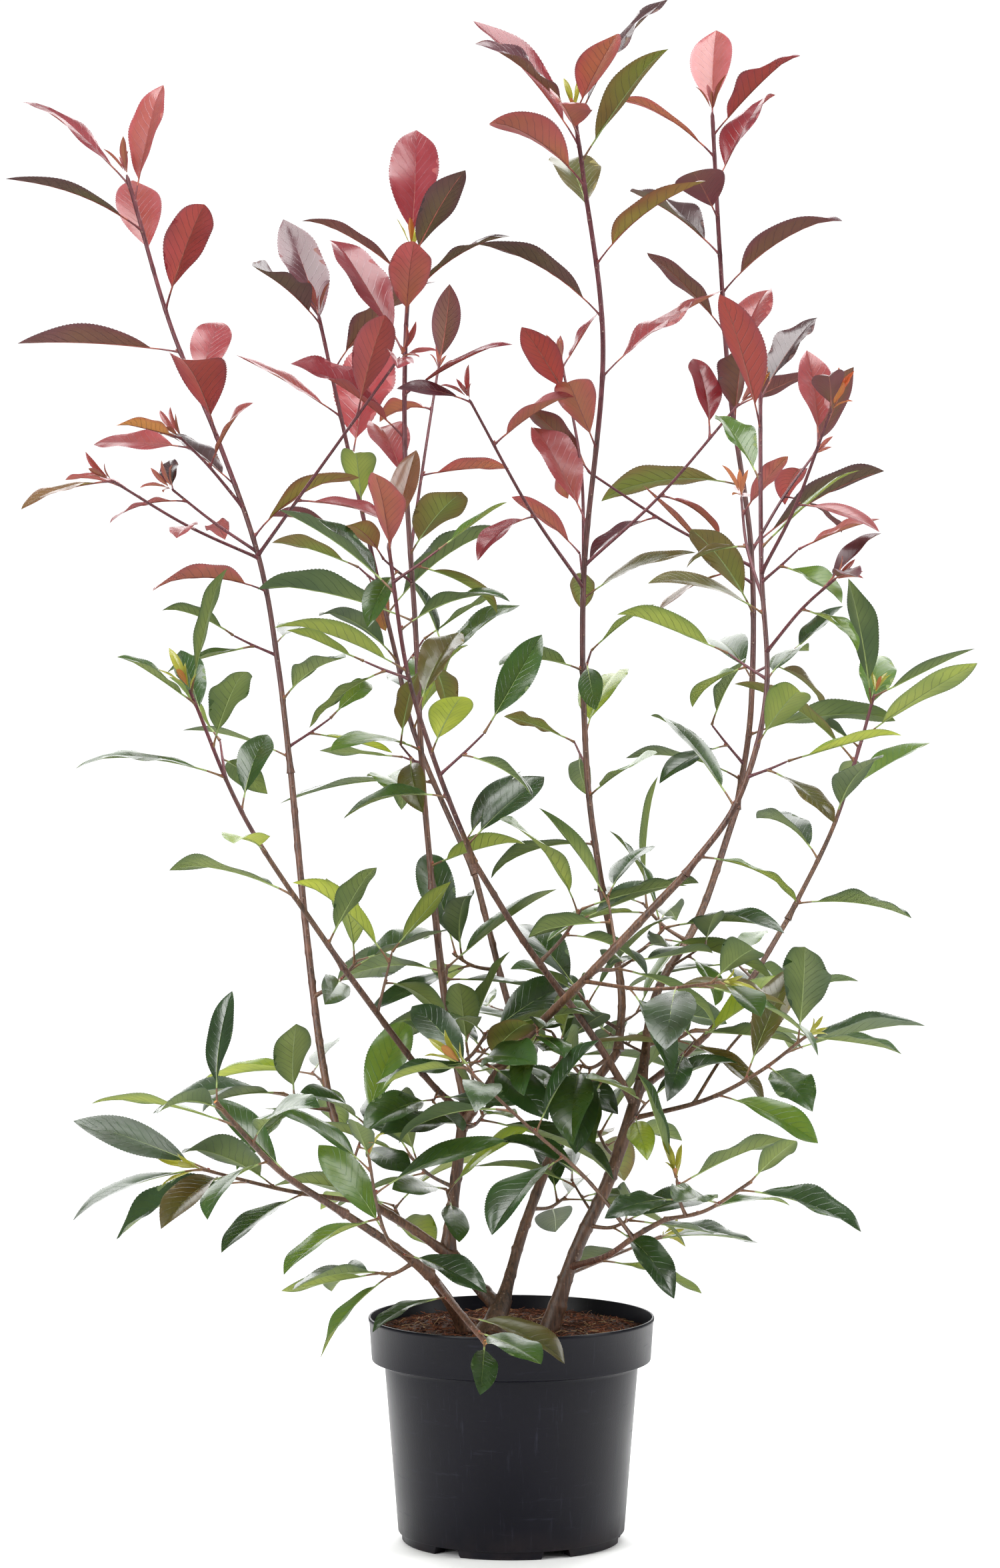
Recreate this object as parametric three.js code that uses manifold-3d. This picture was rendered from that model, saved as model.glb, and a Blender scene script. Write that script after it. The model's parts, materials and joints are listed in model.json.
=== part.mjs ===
// A potted photinia shrub: a round nursery pot filled with compost, three stems that rise from one
// root crown, the boughs they fork into, and the leafy shoots that the boughs end in.
// Millimetres, +Z up, +X right, -Y front. The origin is under the middle of the pot, where it stands.

import * as THREE from 'three';
import { mergeVertices } from 'three/addons/utils/BufferGeometryUtils.js';
import Module from 'manifold-3d';

const wasm = await Module();
wasm.setup();

// The pot: radii and heights of its outer steps, and its wall.
const pot = {
  rimTopRadius: 130,
  rimFootRadius: 127,
  rimTopHeight: 204,
  rimFootHeight: 165,
  neckRadius: 115.5,
  neckHeight: 163,
  baseRadius: 103,
  footRadius: 99.5,
  footHeight: 8,
  footInnerRadius: 84,
  padRadius: 36,
  floorTop: 11,
  wall: 2.4,
  segments: 24,
};

// Round the foot, notches and drain holes come in pairs. Each notch is cut from one radius out to
// another, and starts a little below the ground so that its foot is open.
const notch = {
  count: 6,
  firstTurn: 24,
  bottomWidth: 30,
  topWidth: 24,
  height: 7,
  below: 1,
  innerRadius: 78,
  outerRadius: 108,
};
const drain = { radius: 6, ringRadius: 60, sides: 6, cutLength: 40 };

// The compost: how high it stands, how far its flat middle reaches, and how far its rim has shrunk.
const compost = { edgeHeight: 190, middleHeight: 195, flatRadius: 70, shrunk: 1.2 };

const gap = 0.3;

// How a limb is built: sides of its section, and rings for each stretch between two of its points.
const boughMesh = { sides: 6, rings: 3 };
const stemMesh = { sides: 4, rings: 2 };
const twigMesh = { sides: 3, rings: 1 };
const bend = { style: 'catmullrom', tension: 0.5 };
const flare = { grow: 0.55, reach: 0.3 };

// A leaf: shares of its own blade length, radii in mm, and the angles it is set at, in degrees.
// The last few leaves of a shoot are young: smaller, and arched less.
const leaf = {
  widthShare: 0.4,
  petioleShare: 0.23,
  petioleRadius: 0.9,
  rootRadius: 0.5,
  thickShare: 0.018,
  thickAtFoot: 1.3,
  thinning: 0.5,
  stations: [0.28, 0.66],
  fold: 24,
  lowTilt: 62,
  tipTilt: 34,
  arch: 30,
  skyPull: 3,
  droopKept: 0.3,
  riseKept: 0.2,
  turnStep: 137.5,
  youngest: 0.86,
  youngFlatter: 0.6,
  youngPower: 5,
  tipShare: 0.985,
  crowding: 1.5,
};
const blade = { fullness: 3.603, footPower: 0.95, tipPower: 0.9 };
const spread = { size: 0.18, turn: 16, tilt: 13, arch: 18, roll: 26 };
const hang = { above: 3, beside: 6, lowest: 150 };
const triesForRoom = [0, 28, -28, 56, -56, 90, -90];
const seeds = { first: 101, step: 37 };

// Boughs, in the order they grow. A bough leaves its parent at a height, or carries on from its tip.
// Each line: name, parent, height, the points it bends through and its tip, radius at foot and tip.
const boughs = [
  ['root_crown', null, 0, [[-18, -32, 195], [-13, -25, 208], [-7, -16, 222]], 11, 8.6],
  ['right_trunk', null, 0, [[34, -35, 195], [57, -32, 265], [89, -20, 333], [118, 0, 418]], 6.6, 5.4],
  ['front_trunk', null, 0, [[-42, -35, 195], [-57, -55, 227], [-73, -78, 253]], 5.6, 4.7],
  ['left_sweep', 'root_crown', 214, [[-31, -5, 233], [-58, 5, 265]], 6.2, 5.8],
  ['middle_bough', 'root_crown', null, [[14, 10, 290], [49, 20, 374], [98, 40, 442]], 5, 4],
  ['centre_bough', 'left_sweep', null, [[-52, 5, 315], [-42, 0, 398]], 5.6, 4.7],
  ['low_left_bough', 'left_sweep', 252, [[-89, -10, 284], [-137, -20, 315]], 4.4, 3.8],
  ['left_stem', 'low_left_bough', null, [[-167, 20, 405], [-187, 70, 532], [-204, 100, 694]], 3.7, 2.9],
  ['centre_limb', 'centre_bough', null, [[-59, 15, 481], [-72, 25, 591]], 3.8, 3.1],
  ['sweep_limb', 'centre_bough', 376, [[-1, -60, 447], [69, -130, 526], [151, -160, 615]], 4.2, 3.4],
  ['front_left_limb', 'centre_bough', 388, [[-79, -40, 428], [-148, -120, 530]], 3.1, 2.7],
  ['back_left_limb', 'middle_bough', 374, [[6, 80, 455], [-34, 150, 597]], 3.3, 2.8],
  ['tall_limb', 'middle_bough', null, [[101, 60, 499], [84, 85, 585]], 3.9, 3.2],
  ['right_limb', 'right_trunk', null, [[133, 40, 494], [174, 90, 561], [211, 140, 659]], 4.3, 3.1],
  ['purple_limb', 'right_trunk', 398, [[71, -30, 465], [11, -70, 550], [-33, -95, 622]], 3.5, 2.6],
  ['outer_limb', 'right_trunk', 408, [[175, 30, 454], [220, 60, 505], [256, 90, 559]], 3.2, 2.4],
  ['low_front_limb', 'right_trunk', 253, [[85, -80, 270], [110, -110, 292], [135, -130, 309]], 2.9, 2.2],
  ['fore_left_bough', 'front_trunk', null, [[-105, -110, 283], [-146, -140, 315]], 4.3, 3.5],
];

// Leafy shoots, several to a mass; the first is the mass's own stem and starts at a bough.
// Each line: mass, shoot, parent, height, points, radii, then its leaves:
// how many, where the first one sits along the shoot, blade length, heading of the first.
const shoots = [
  ['left_leader', 'left_leader', 'left_stem', null,
    [[-216, 110, 792], [-234, 115, 893], [-272, 125, 1002], [-317, 135, 1110], [-357, 130, 1249]],
    2.8, 1.9, 14, 0.03, 112, 250],
  ['left_leader', 'spray_low', 'left_leader', 893, [[-299, 90, 923], [-366, 50, 964]],
    1.6, 1.2, 3, 0.45, 84, 20],
  ['left_leader', 'spray_mid', 'left_leader', 899, [[-278, 150, 927], [-320, 190, 959]],
    1.6, 1.2, 3, 0.5, 70, 200],
  ['left_leader', 'spray_high', 'left_leader', 940, [[-279, 110, 977], [-305, 90, 1004]],
    1.6, 1.2, 3, 0.5, 86, 60],
  ['left_leader', 'cross_shoot', 'left_leader', 896, [[-184, 40, 961], [-99, -80, 1069]],
    1.8, 1.2, 3, 0.4, 88, 90],
  ['low_left_shoot', 'low_left_shoot', 'low_left_bough', 309, [[-202, -45, 324], [-277, -90, 349]],
    2.4, 1.4, 6, 0.4, 116, 300],
  ['front_left_leader', 'front_left_leader', 'front_left_limb', null,
    [[-230, -170, 661], [-278, -200, 777]], 2.6, 1.4, 9, 0.08, 98, 80],
  ['back_left_leader', 'back_left_leader', 'back_left_limb', null,
    [[-89, 190, 722], [-110, 205, 806], [-143, 215, 946], [-182, 200, 1125]],
    2.7, 1.8, 13, 0.05, 110, 120],
  ['centre_leader', 'centre_leader', 'centre_limb', null,
    [[-81, 30, 696], [-87, 30, 824], [-96, 25, 969], [-96, 15, 1083], [-90, 0, 1170]],
    2.9, 1.9, 15, 0.04, 112, 60],
  ['centre_leader', 'centre_side', 'centre_leader', 897, [[-81, 70, 977], [-68, 130, 1068]],
    1.6, 1.2, 3, 0.45, 80, 90],
  ['purple_leader', 'purple_leader', 'purple_limb', null,
    [[-66, -115, 707], [-92, -130, 794], [-108, -140, 904]], 2.5, 1.7, 9, 0.06, 106, 110],
  ['tall_leader', 'tall_leader', 'tall_limb', null,
    [[70, 100, 700], [67, 95, 874], [84, 60, 1080], [66, 25, 1232], [56, 0, 1294]],
    3.1, 1.9, 18, 0.08, 110, 240],
  ['tall_leader', 'tall_left_fork', 'tall_leader', 866, [[16, 60, 939], [-38, -10, 1035]],
    1.8, 1.2, 3, 0.45, 80, 300],
  ['tall_leader', 'tall_inner', 'tall_leader', 878, [[65, 130, 978], [48, 170, 1076]],
    1.7, 1.2, 3, 0.5, 76, 200],
  ['tall_leader', 'tall_right_fork', 'tall_leader', 886, [[138, 110, 951], [212, 120, 1037]],
    1.6, 1.2, 3, 0.5, 80, 120],
  ['right_leader', 'right_leader', 'right_limb', null,
    [[226, 170, 754], [227, 190, 900], [207, 195, 1049], [197, 185, 1174], [188, 160, 1310]],
    3, 1.9, 16, 0.06, 112, 280],
  ['right_leader', 'far_cross', 'right_leader', 886, [[154, 190, 923], [72, 190, 976]],
    1.6, 1.2, 2, 0.6, 80, 300],
  ['right_leader', 'right_side', 'right_leader', 900, [[260, 230, 953], [292, 270, 995]],
    1.6, 1.2, 3, 0.5, 76, 60],
  ['sweep_leader', 'sweep_leader', 'sweep_limb', null,
    [[197, -165, 681], [222, -150, 773], [218, -140, 887], [218, -120, 1038]],
    3.1, 1.7, 9, 0.06, 104, 100],
  ['sweep_leader', 'sweep_right', 'sweep_leader', 809, [[250, -190, 846], [276, -230, 872]],
    1.6, 1.2, 3, 0.5, 72, 60],
  ['sweep_leader', 'sweep_left', 'sweep_leader', 854, [[207, -110, 901], [204, -70, 946]],
    1.6, 1.2, 3, 0.5, 66, 250],
  ['sweep_leader', 'sweep_outer', 'sweep_leader', 878, [[245, -190, 936], [272, -240, 1017]],
    1.7, 1.2, 3, 0.5, 78, 80],
  ['front_spray', 'front_spray', 'sweep_limb', 519, [[119, -200, 518], [178, -270, 530]],
    1.9, 1.3, 6, 0.35, 100, 90],
  ['outer_leader', 'outer_leader', 'outer_limb', null,
    [[297, 115, 637], [321, 125, 705], [339, 130, 767]], 2.4, 1.4, 9, 0.06, 114, 70],
  ['low_right_shoot', 'low_right_shoot', 'right_trunk', 384,
    [[174, -40, 405], [222, -70, 434], [262, -100, 469]], 2.4, 1.4, 6, 0.4, 100, 100],
  ['low_right_shoot', 'low_right_twig', 'low_right_shoot', 401, [[194, 20, 440], [230, 80, 473]],
    1.6, 1.3, 4, 0.5, 96, 200],
  ['low_front_shoot', 'low_front_shoot', 'low_front_limb', null, [[170, -160, 321], [207, -200, 351]],
    1.9, 1.5, 4, 0.35, 90, 200],
  ['low_front_shoot', 'low_front_tip', 'low_front_shoot', 314, [[147, -152, 329], [144, -162, 350]],
    1.6, 1.3, 3, 0.5, 84, 300],
  ['front_riser', 'front_riser', 'low_front_limb', 290,
    [[65, -160, 349], [12, -200, 401], [-42, -230, 455]], 1.9, 1.3, 7, 0.3, 98, 180],
  ['low_back_shoot', 'low_back_shoot', 'right_trunk', 246, [[91, 40, 252], [140, 110, 262]],
    1.7, 1.3, 4, 0.4, 98, 40],
  ['fore_left_shoot', 'fore_left_shoot', 'fore_left_bough', null,
    [[-195, -190, 354], [-223, -220, 386], [-254, -240, 425]], 3.3, 1.9, 6, 0.3, 108, 160],
  ['front_stub', 'front_stub', 'front_trunk', 244, [[-46, -120, 226], [-23, -165, 206]],
    3.2, 2.6, 4, 0.25, 90, 40],
  ['front_upright', 'front_upright', 'fore_left_bough', 268,
    [[-107, -140, 290], [-117, -170, 324], [-124, -190, 371]], 1.8, 1.3, 6, 0.12, 98, 40],
];

// Short leafy spurs along the lower boughs.
// Each line: bough, lowest and highest spur, how many, heading of the first, leaves on each.
const spurRows = [
  ['left_stem', 390, 490, 2, 290, 4],
  ['centre_bough', 320, 375, 2, 250, 4],
  ['centre_limb', 430, 500, 2, 40, 4],
  ['back_left_limb', 420, 510, 2, 150, 4],
  ['middle_bough', 300, 410, 2, 130, 4],
  ['tall_limb', 460, 520, 2, 300, 4],
  ['right_limb', 450, 540, 2, 100, 4],
  ['purple_limb', 440, 530, 2, 310, 4],
  ['sweep_limb', 440, 530, 2, 350, 4],
  ['fore_left_bough', 266, 266, 1, 270, 4],
  ['right_trunk', 290, 350, 2, 60, 4],
  ['low_left_bough', 286, 286, 1, 200, 4],
];
// A spur bends at its middle, which lies a share of its length out and a share of its rise up.
const spur = {
  length: 46,
  rise: 23,
  middleOut: 0.55,
  middleUp: 0.35,
  turnStep: 137.5,
  footRadius: 1.9,
  tipRadius: 1.3,
  leafSize: 104,
  firstLeaf: 0.55,
  leafTurnStep: 60,
};

const up = new THREE.Vector3(0, 0, 1);
const front = new THREE.Vector3(0, -1, 0);
const radians = THREE.MathUtils.degToRad;

// A repeatable row of numbers from 0 to 1: the minimal standard generator.
const generator = { multiplier: 16807, modulus: 2147483647 };

function seededNumbers(seed) {
  let state = seed;
  return () => {
    state = (state * generator.multiplier) % generator.modulus;
    return state / generator.modulus;
  };
}

// The two directions across a limb: towards the front, and a quarter turn on.
function acrossOf(tangent) {
  const ahead = front.clone().addScaledVector(tangent, -front.dot(tangent)).normalize();
  return [ahead, new THREE.Vector3().crossVectors(tangent, ahead)];
}

function headingAt(tangent, degrees) {
  const [ahead, beside] = acrossOf(tangent);
  const turn = radians(degrees);
  return ahead.multiplyScalar(Math.cos(turn)).addScaledVector(beside, Math.sin(turn));
}

// One direction and another, each by its own share.
function leaning(first, share, second, otherShare) {
  return first.clone().multiplyScalar(share).addScaledVector(second, otherShare);
}

function closedSolid(coordinates, triangles) {
  const vertProperties = new Float32Array(coordinates);
  const triVerts = new Uint32Array(triangles);
  return new wasm.Manifold(new wasm.Mesh({ numProp: 3, vertProperties, triVerts }));
}

// A closed solid through a row of rings; a ring of one point is a sharp tip.
function loft(rings) {
  const points = rings.flat();
  const triangles = [];
  let first = 0;
  for (let i = 0; i + 1 < rings.length; i += 1) {
    const count = rings[i].length;
    const next = first + count;
    const sharp = rings[i + 1].length === 1;
    for (let k = 0; k < count; k += 1) {
      const after = (k + 1) % count;
      if (sharp) {
        triangles.push(first + k, first + after, next);
      } else {
        triangles.push(first + k, first + after, next + k);
        triangles.push(first + after, next + after, next + k);
      }
    }
    first = next;
  }
  const startCount = rings[0].length;
  for (let k = 1; k + 1 < startCount; k += 1) {
    triangles.push(0, k + 1, k);
  }
  const endCount = rings[rings.length - 1].length;
  for (let k = 1; k + 1 < endCount; k += 1) {
    triangles.push(first, first + k, first + k + 1);
  }
  return closedSolid(points.flatMap((point) => point.toArray()), triangles);
}

// A limb is a smooth curve with a radius that tapers, and a flare where it stands on the compost.
function makeLimb(name, points, footRadius, tipRadius, stands, mesh) {
  const curve = new THREE.CatmullRomCurve3(points, false, bend.style, bend.tension);
  const radiusAt = (t) => {
    const taper = footRadius + (tipRadius - footRadius) * t;
    const swell = stands ? flare.grow * Math.max(0, 1 - t / flare.reach) ** 2 : 0;
    return taper * (1 + swell);
  };
  const rings = mesh.rings * (points.length - 1);
  return { name, curve, radiusAt, stands, mesh, rings };
}

function limbSolid(limb, grow) {
  const rings = [];
  for (let i = 0; i <= limb.rings; i += 1) {
    const t = i / limb.rings;
    const tangent = limb.stands && i === 0 ? up.clone() : limb.curve.getTangent(t);
    const centre = limb.curve.getPoint(t);
    if (i === 0) {
      centre.addScaledVector(tangent, -grow);
    }
    if (i === limb.rings) {
      centre.addScaledVector(tangent, grow);
    }
    const ring = [];
    for (let k = 0; k < limb.mesh.sides; k += 1) {
      const outward = headingAt(tangent, (360 * k) / limb.mesh.sides);
      ring.push(centre.clone().addScaledVector(outward, limb.radiusAt(t) + grow));
    }
    rings.push(ring);
  }
  return loft(rings);
}

// Where a limb passes a height, found by halving; no height means its tip.
const halvings = 30;

function placeAtHeight(limb, height) {
  if (height === null) {
    return 1;
  }
  let low = 0;
  let high = 1;
  for (let i = 0; i < halvings; i += 1) {
    const middle = (low + high) / 2;
    if (limb.curve.getPoint(middle).z < height) {
      low = middle;
    } else {
      high = middle;
    }
  }
  return (low + high) / 2;
}

function boxesMeet(a, b) {
  return [0, 1, 2].every((axis) => a.min[axis] < b.max[axis] && b.min[axis] < a.max[axis]);
}

// The largest body of a solid, without the slivers that a cut leaves.
function largestBody(solid) {
  const bodies = solid.decompose();
  return bodies.sort((a, b) => b.volume() - a.volume())[0];
}

const limbs = new Map();
const grown = new Map();
const solids = new Map();

// Cuts a new solid clear of every bough that is already there.
function clearOfBoughs(solid) {
  let cut = solid;
  for (const other of grown.values()) {
    if (boxesMeet(cut.boundingBox(), other.boundingBox())) {
      cut = cut.subtract(other);
    }
  }
  return largestBody(cut);
}

function growFrom(parentName, height, points) {
  const parent = limbs.get(parentName);
  return [parent.curve.getPoint(placeAtHeight(parent, height)), ...points];
}

for (const [name, parent, height, places, footRadius, tipRadius] of boughs) {
  const points = places.map((place) => new THREE.Vector3(...place));
  if (parent === null) {
    points[0].z += gap;
  }
  const path = parent === null ? points : growFrom(parent, height, points);
  const limb = makeLimb(name, path, footRadius, tipRadius, parent === null, boughMesh);
  solids.set(name, clearOfBoughs(limbSolid(limb, 0)));
  limbs.set(name, limb);
  grown.set(name, limbSolid(limb, gap));
}

// The leaf's outline: half its width at a share of its length, as a share of the widest.
function outline(share) {
  return blade.fullness * share ** blade.footPower * (1 - share) ** blade.tipPower;
}

// A leaf with its petiole follows one arc from the stem, folded along its midrib.
function leafSolids(foot, along, top, size, arch) {
  const side = new THREE.Vector3().crossVectors(along, top);
  const petiole = size * leaf.petioleShare;
  const total = petiole + size;
  const ringAt = (distance, halfWidth, halfThick, foldDegrees) => {
    const turned = (arch * distance) / total;
    const run = (total * Math.sin(turned)) / arch;
    const drop = (total * (1 - Math.cos(turned))) / arch;
    const centre = foot.clone().addScaledVector(along, run).addScaledVector(top, -drop);
    const normal = leaning(top, Math.cos(turned), along, Math.sin(turned));
    const out = halfWidth * Math.cos(radians(foldDegrees));
    const rise = halfWidth * Math.sin(radians(foldDegrees));
    if (halfWidth === 0) {
      return [centre];
    }
    return [
      centre.clone().addScaledVector(normal, halfThick),
      centre.clone().addScaledVector(side, out).addScaledVector(normal, rise),
      centre.clone().addScaledVector(normal, -halfThick),
      centre.clone().addScaledVector(side, -out).addScaledVector(normal, rise),
    ];
  };
  const halfWidest = (size * leaf.widthShare) / 2;
  const halfThick = (size * leaf.thickShare) / 2;
  const rings = leaf.stations.map((share) => {
    const thick = halfThick * (leaf.thickAtFoot - leaf.thinning * share);
    return ringAt(petiole + size * share, halfWidest * outline(share), thick, leaf.fold);
  });
  rings.push(ringAt(total, 0, 0, 0));
  const root = ringAt(0, leaf.rootRadius, leaf.rootRadius, 0);
  const bladeFoot = ringAt(petiole, leaf.petioleRadius, halfThick, 0);
  return {
    whole: loft([root, ...rings]),
    blade: loft([bladeFoot, ...rings]),
    points: [...root, ...rings.flat()],
  };
}

const leafyMasses = new Map();
const taken = [];

function addStem(mass, limb, isFirst) {
  const solid = limbSolid(limb, 0);
  if (isFirst) {
    leafyMasses.set(mass, { stems: [clearOfBoughs(solid)], leaves: [] });
  } else {
    leafyMasses.get(mass).stems.push(solid);
  }
  taken.push({ mass, whole: limbSolid(limb, gap), blade: solid });
}

const leafRows = [];

for (const [mass, name, parent, height, places, footRadius, tipRadius, ...leaves] of shoots) {
  const points = growFrom(parent, height, places.map((place) => new THREE.Vector3(...place)));
  const isFirst = mass === name;
  const limb = makeLimb(name, points, footRadius, tipRadius, false, isFirst ? stemMesh : twigMesh);
  limbs.set(name, limb);
  addStem(mass, limb, isFirst);
  leafRows.push({ mass, limb, leaves });
}

for (const [bough, lowest, highest, count, firstTurn, leafCount] of spurRows) {
  for (let i = 0; i < count; i += 1) {
    const name = `${bough}_spur_${i + 1}`;
    const parent = limbs.get(bough);
    const height = lowest + ((highest - lowest) * i) / Math.max(1, count - 1);
    const place = placeAtHeight(parent, height);
    const foot = parent.curve.getPoint(place);
    const outward = headingAt(parent.curve.getTangent(place), firstTurn + i * spur.turnStep);
    const middle = foot.clone().addScaledVector(outward, spur.length * spur.middleOut);
    middle.z += spur.rise * spur.middleUp;
    const tip = foot.clone().addScaledVector(outward, spur.length);
    tip.z += spur.rise;
    const limb = makeLimb(name, [foot, middle, tip], spur.footRadius, spur.tipRadius, false, twigMesh);
    const leaves = [leafCount, spur.firstLeaf, spur.leafSize, firstTurn + spur.leafTurnStep * i];
    addStem(name, limb, true);
    leafRows.push({ mass: name, limb, leaves });
  }
}

for (const [name, solid] of grown) {
  taken.push({ mass: name, whole: solid, blade: solid });
}

// A leaf stays above the pot's rim, or hangs down outside it.
function clearOfPot(point) {
  const outside = Math.hypot(point.x, point.y) > pot.rimTopRadius + hang.beside;
  return point.z > pot.rimTopHeight + hang.above || (outside && point.z > hang.lowest);
}

// A leaf has room if it meets no limb and no other leaf, apart from petioles of its own mass.
function hasRoom(mass, candidate) {
  const wholeBox = candidate.whole.boundingBox();
  return taken.every((other) => {
    if (!boxesMeet(wholeBox, other.whole.boundingBox())) {
      return true;
    }
    if (other.mass === mass) {
      return candidate.blade.intersect(other.blade).isEmpty();
    }
    return candidate.whole.intersect(other.whole).isEmpty();
  });
}

// Leaves stand round a shoot by the golden angle, closer, smaller and steeper towards its tip.
// A leaf that would start downwards keeps only a share of that lean, and so does one that would
// rise from a level shoot. A leaf that meets something is turned round the shoot until it has
// room, or left out.
function addLeaves(mass, limb, [count, first, size, firstTurn], seed) {
  const number = seededNumbers(seed);
  const vary = (range) => (2 * number() - 1) * range;
  for (let i = 0; i < count; i += 1) {
    const share = count === 1 ? 0 : i / (count - 1);
    const place = first + (leaf.tipShare - first) * (1 - (1 - share) ** leaf.crowding);
    const young = share ** leaf.youngPower;
    const length = size * (1 - (1 - leaf.youngest) * young) * (1 + vary(spread.size));
    const turn = firstTurn + i * leaf.turnStep + vary(spread.turn);
    const tilt = radians(leaf.lowTilt + (leaf.tipTilt - leaf.lowTilt) * share + vary(spread.tilt));
    const arch = radians(leaf.arch * (1 - leaf.youngFlatter * young) + vary(spread.arch));
    const roll = radians(vary(spread.roll));
    const foot = limb.curve.getPoint(place);
    const tangent = limb.curve.getTangent(place);
    const riseKept = leaf.riseKept + (1 - leaf.riseKept) * Math.max(0, tangent.z);
    for (const extra of triesForRoom) {
      const outward = headingAt(tangent, turn + extra);
      const along = leaning(tangent, Math.cos(tilt), outward, Math.sin(tilt));
      along.setZ(along.z * (along.z < 0 ? leaf.droopKept : riseKept)).normalize();
      const stemSide = leaning(tangent, Math.sin(tilt), outward, -Math.cos(tilt));
      const skySide = leaning(up, 1, along, -up.dot(along));
      const top = leaning(stemSide, 1, skySide, leaf.skyPull);
      top.addScaledVector(along, -top.dot(along)).normalize().applyAxisAngle(along, roll);
      const candidate = leafSolids(foot, along, top, length, arch);
      if (candidate.points.every(clearOfPot) && hasRoom(mass, candidate)) {
        taken.push({ mass, whole: candidate.whole, blade: candidate.blade });
        leafyMasses.get(mass).leaves.push(candidate.whole);
        break;
      }
    }
  }
}

leafRows.forEach(({ mass, limb, leaves }, row) => {
  addLeaves(mass, limb, leaves, seeds.first + seeds.step * row);
});

for (const [mass, { stems, leaves }] of leafyMasses) {
  const joined = wasm.Manifold.union([...stems, ...leaves]);
  solids.set(mass, largestBody(joined));
}

// A lathe profile turned about the pot's axis, as a solid that can be cut.
function turnedSolid(profile, segments) {
  const points = profile.map(([radius, height]) => new THREE.Vector2(radius, height));
  const geometry = new THREE.LatheGeometry(points, segments);
  geometry.rotateX(Math.PI / 2);
  return solidOf(geometry);
}

const weldDistance = 1e-4;

function solidOf(geometry) {
  geometry.deleteAttribute('normal');
  geometry.deleteAttribute('uv');
  const merged = mergeVertices(geometry, weldDistance);
  const index = merged.index.array;
  const triangles = [];
  for (let i = 0; i < index.length; i += 3) {
    const [a, b, c] = [index[i], index[i + 1], index[i + 2]];
    if (a !== b && b !== c && c !== a) {
      triangles.push(a, b, c);
    }
  }
  return closedSolid(merged.attributes.position.array, triangles);
}

// The pot stands on a middle pad and a notched ring, with a channel and drain holes between them.
function makePot() {
  const innerRim = pot.rimTopRadius - pot.wall;
  const body = turnedSolid([
    [0, 0],
    [pot.padRadius, 0],
    [pot.padRadius, notch.height],
    [pot.footInnerRadius, notch.height],
    [pot.footInnerRadius, 0],
    [pot.footRadius, 0],
    [pot.footRadius, pot.footHeight],
    [pot.baseRadius, pot.footHeight],
    [pot.neckRadius, pot.neckHeight],
    [pot.rimFootRadius, pot.rimFootHeight],
    [pot.rimTopRadius, pot.rimTopHeight],
    [innerRim, pot.rimTopHeight],
    [pot.rimFootRadius - pot.wall, pot.rimFootHeight + pot.wall],
    [pot.neckRadius - pot.wall, pot.neckHeight],
    [pot.baseRadius - pot.wall, pot.floorTop],
    [0, pot.floorTop],
  ], pot.segments);
  const half = notch.bottomWidth / 2;
  const halfTop = notch.topWidth / 2;
  const opening = new THREE.Shape([
    new THREE.Vector2(-half, -notch.below),
    new THREE.Vector2(half, -notch.below),
    new THREE.Vector2(halfTop, notch.height),
    new THREE.Vector2(-halfTop, notch.height),
  ]);
  const depth = notch.outerRadius - notch.innerRadius;
  let cut = body;
  for (let i = 0; i < notch.count; i += 1) {
    const turn = radians(notch.firstTurn + (360 * i) / notch.count);
    const slot = new THREE.ExtrudeGeometry(opening, { depth, bevelEnabled: false });
    slot.rotateX(Math.PI / 2).translate(0, -notch.innerRadius, 0).rotateZ(turn);
    cut = cut.subtract(solidOf(slot));
    const hole = new THREE.CylinderGeometry(drain.radius, drain.radius, drain.cutLength, drain.sides);
    hole.rotateX(Math.PI / 2).translate(0, -drain.ringRadius, 0).rotateZ(turn);
    cut = cut.subtract(solidOf(hole));
  }
  return cut;
}

function makeCompost() {
  const inset = pot.wall + gap;
  return turnedSolid([
    [0, pot.floorTop + gap],
    [pot.baseRadius - inset, pot.floorTop + gap],
    [pot.neckRadius - inset, pot.neckHeight],
    [pot.rimFootRadius - inset, pot.rimFootHeight + pot.wall + gap],
    [pot.rimTopRadius - inset - compost.shrunk, compost.edgeHeight],
    [compost.flatRadius, compost.middleHeight],
    [0, compost.middleHeight],
  ], pot.segments);
}

const finishes = {
  pot: { color: 0x26272b, roughness: 0.5 },
  compost: { color: 0x4a3128, roughness: 0.95 },
  bark: { color: 0x6d5244, roughness: 0.8 },
  foliage: { color: 0x3f6b33, roughness: 0.45 },
  youngFoliage: { color: 0x9a3b43, roughness: 0.45 },
};

function meshOf(name, solid, finish) {
  const { vertProperties, triVerts } = solid.getMesh();
  const geometry = new THREE.BufferGeometry();
  geometry.setAttribute('position', new THREE.BufferAttribute(vertProperties, 3));
  geometry.setIndex(new THREE.BufferAttribute(triVerts, 1));
  geometry.computeVertexNormals();
  const mesh = new THREE.Mesh(geometry, new THREE.MeshStandardMaterial({ ...finish, metalness: 0 }));
  mesh.name = name;
  return mesh;
}

// Masses that reach above this height end in red young leaves.
const redFrom = 980;
const shrub = new THREE.Group();
shrub.name = 'potted_photinia';
shrub.add(meshOf('pot', makePot(), finishes.pot));
shrub.add(meshOf('compost', makeCompost(), finishes.compost));
for (const [name, solid] of solids) {
  const leafy = leafyMasses.has(name);
  const reachesRed = solid.boundingBox().max[2] > redFrom;
  const leafFinish = reachesRed ? finishes.youngFoliage : finishes.foliage;
  shrub.add(meshOf(name, solid, leafy ? leafFinish : finishes.bark));
}

export default shrub;
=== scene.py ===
import json
import math
import random

import bmesh
import bpy
import numpy as np
from mathutils import Matrix, Vector, noise
from mathutils.bvhtree import BVHTree


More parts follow.
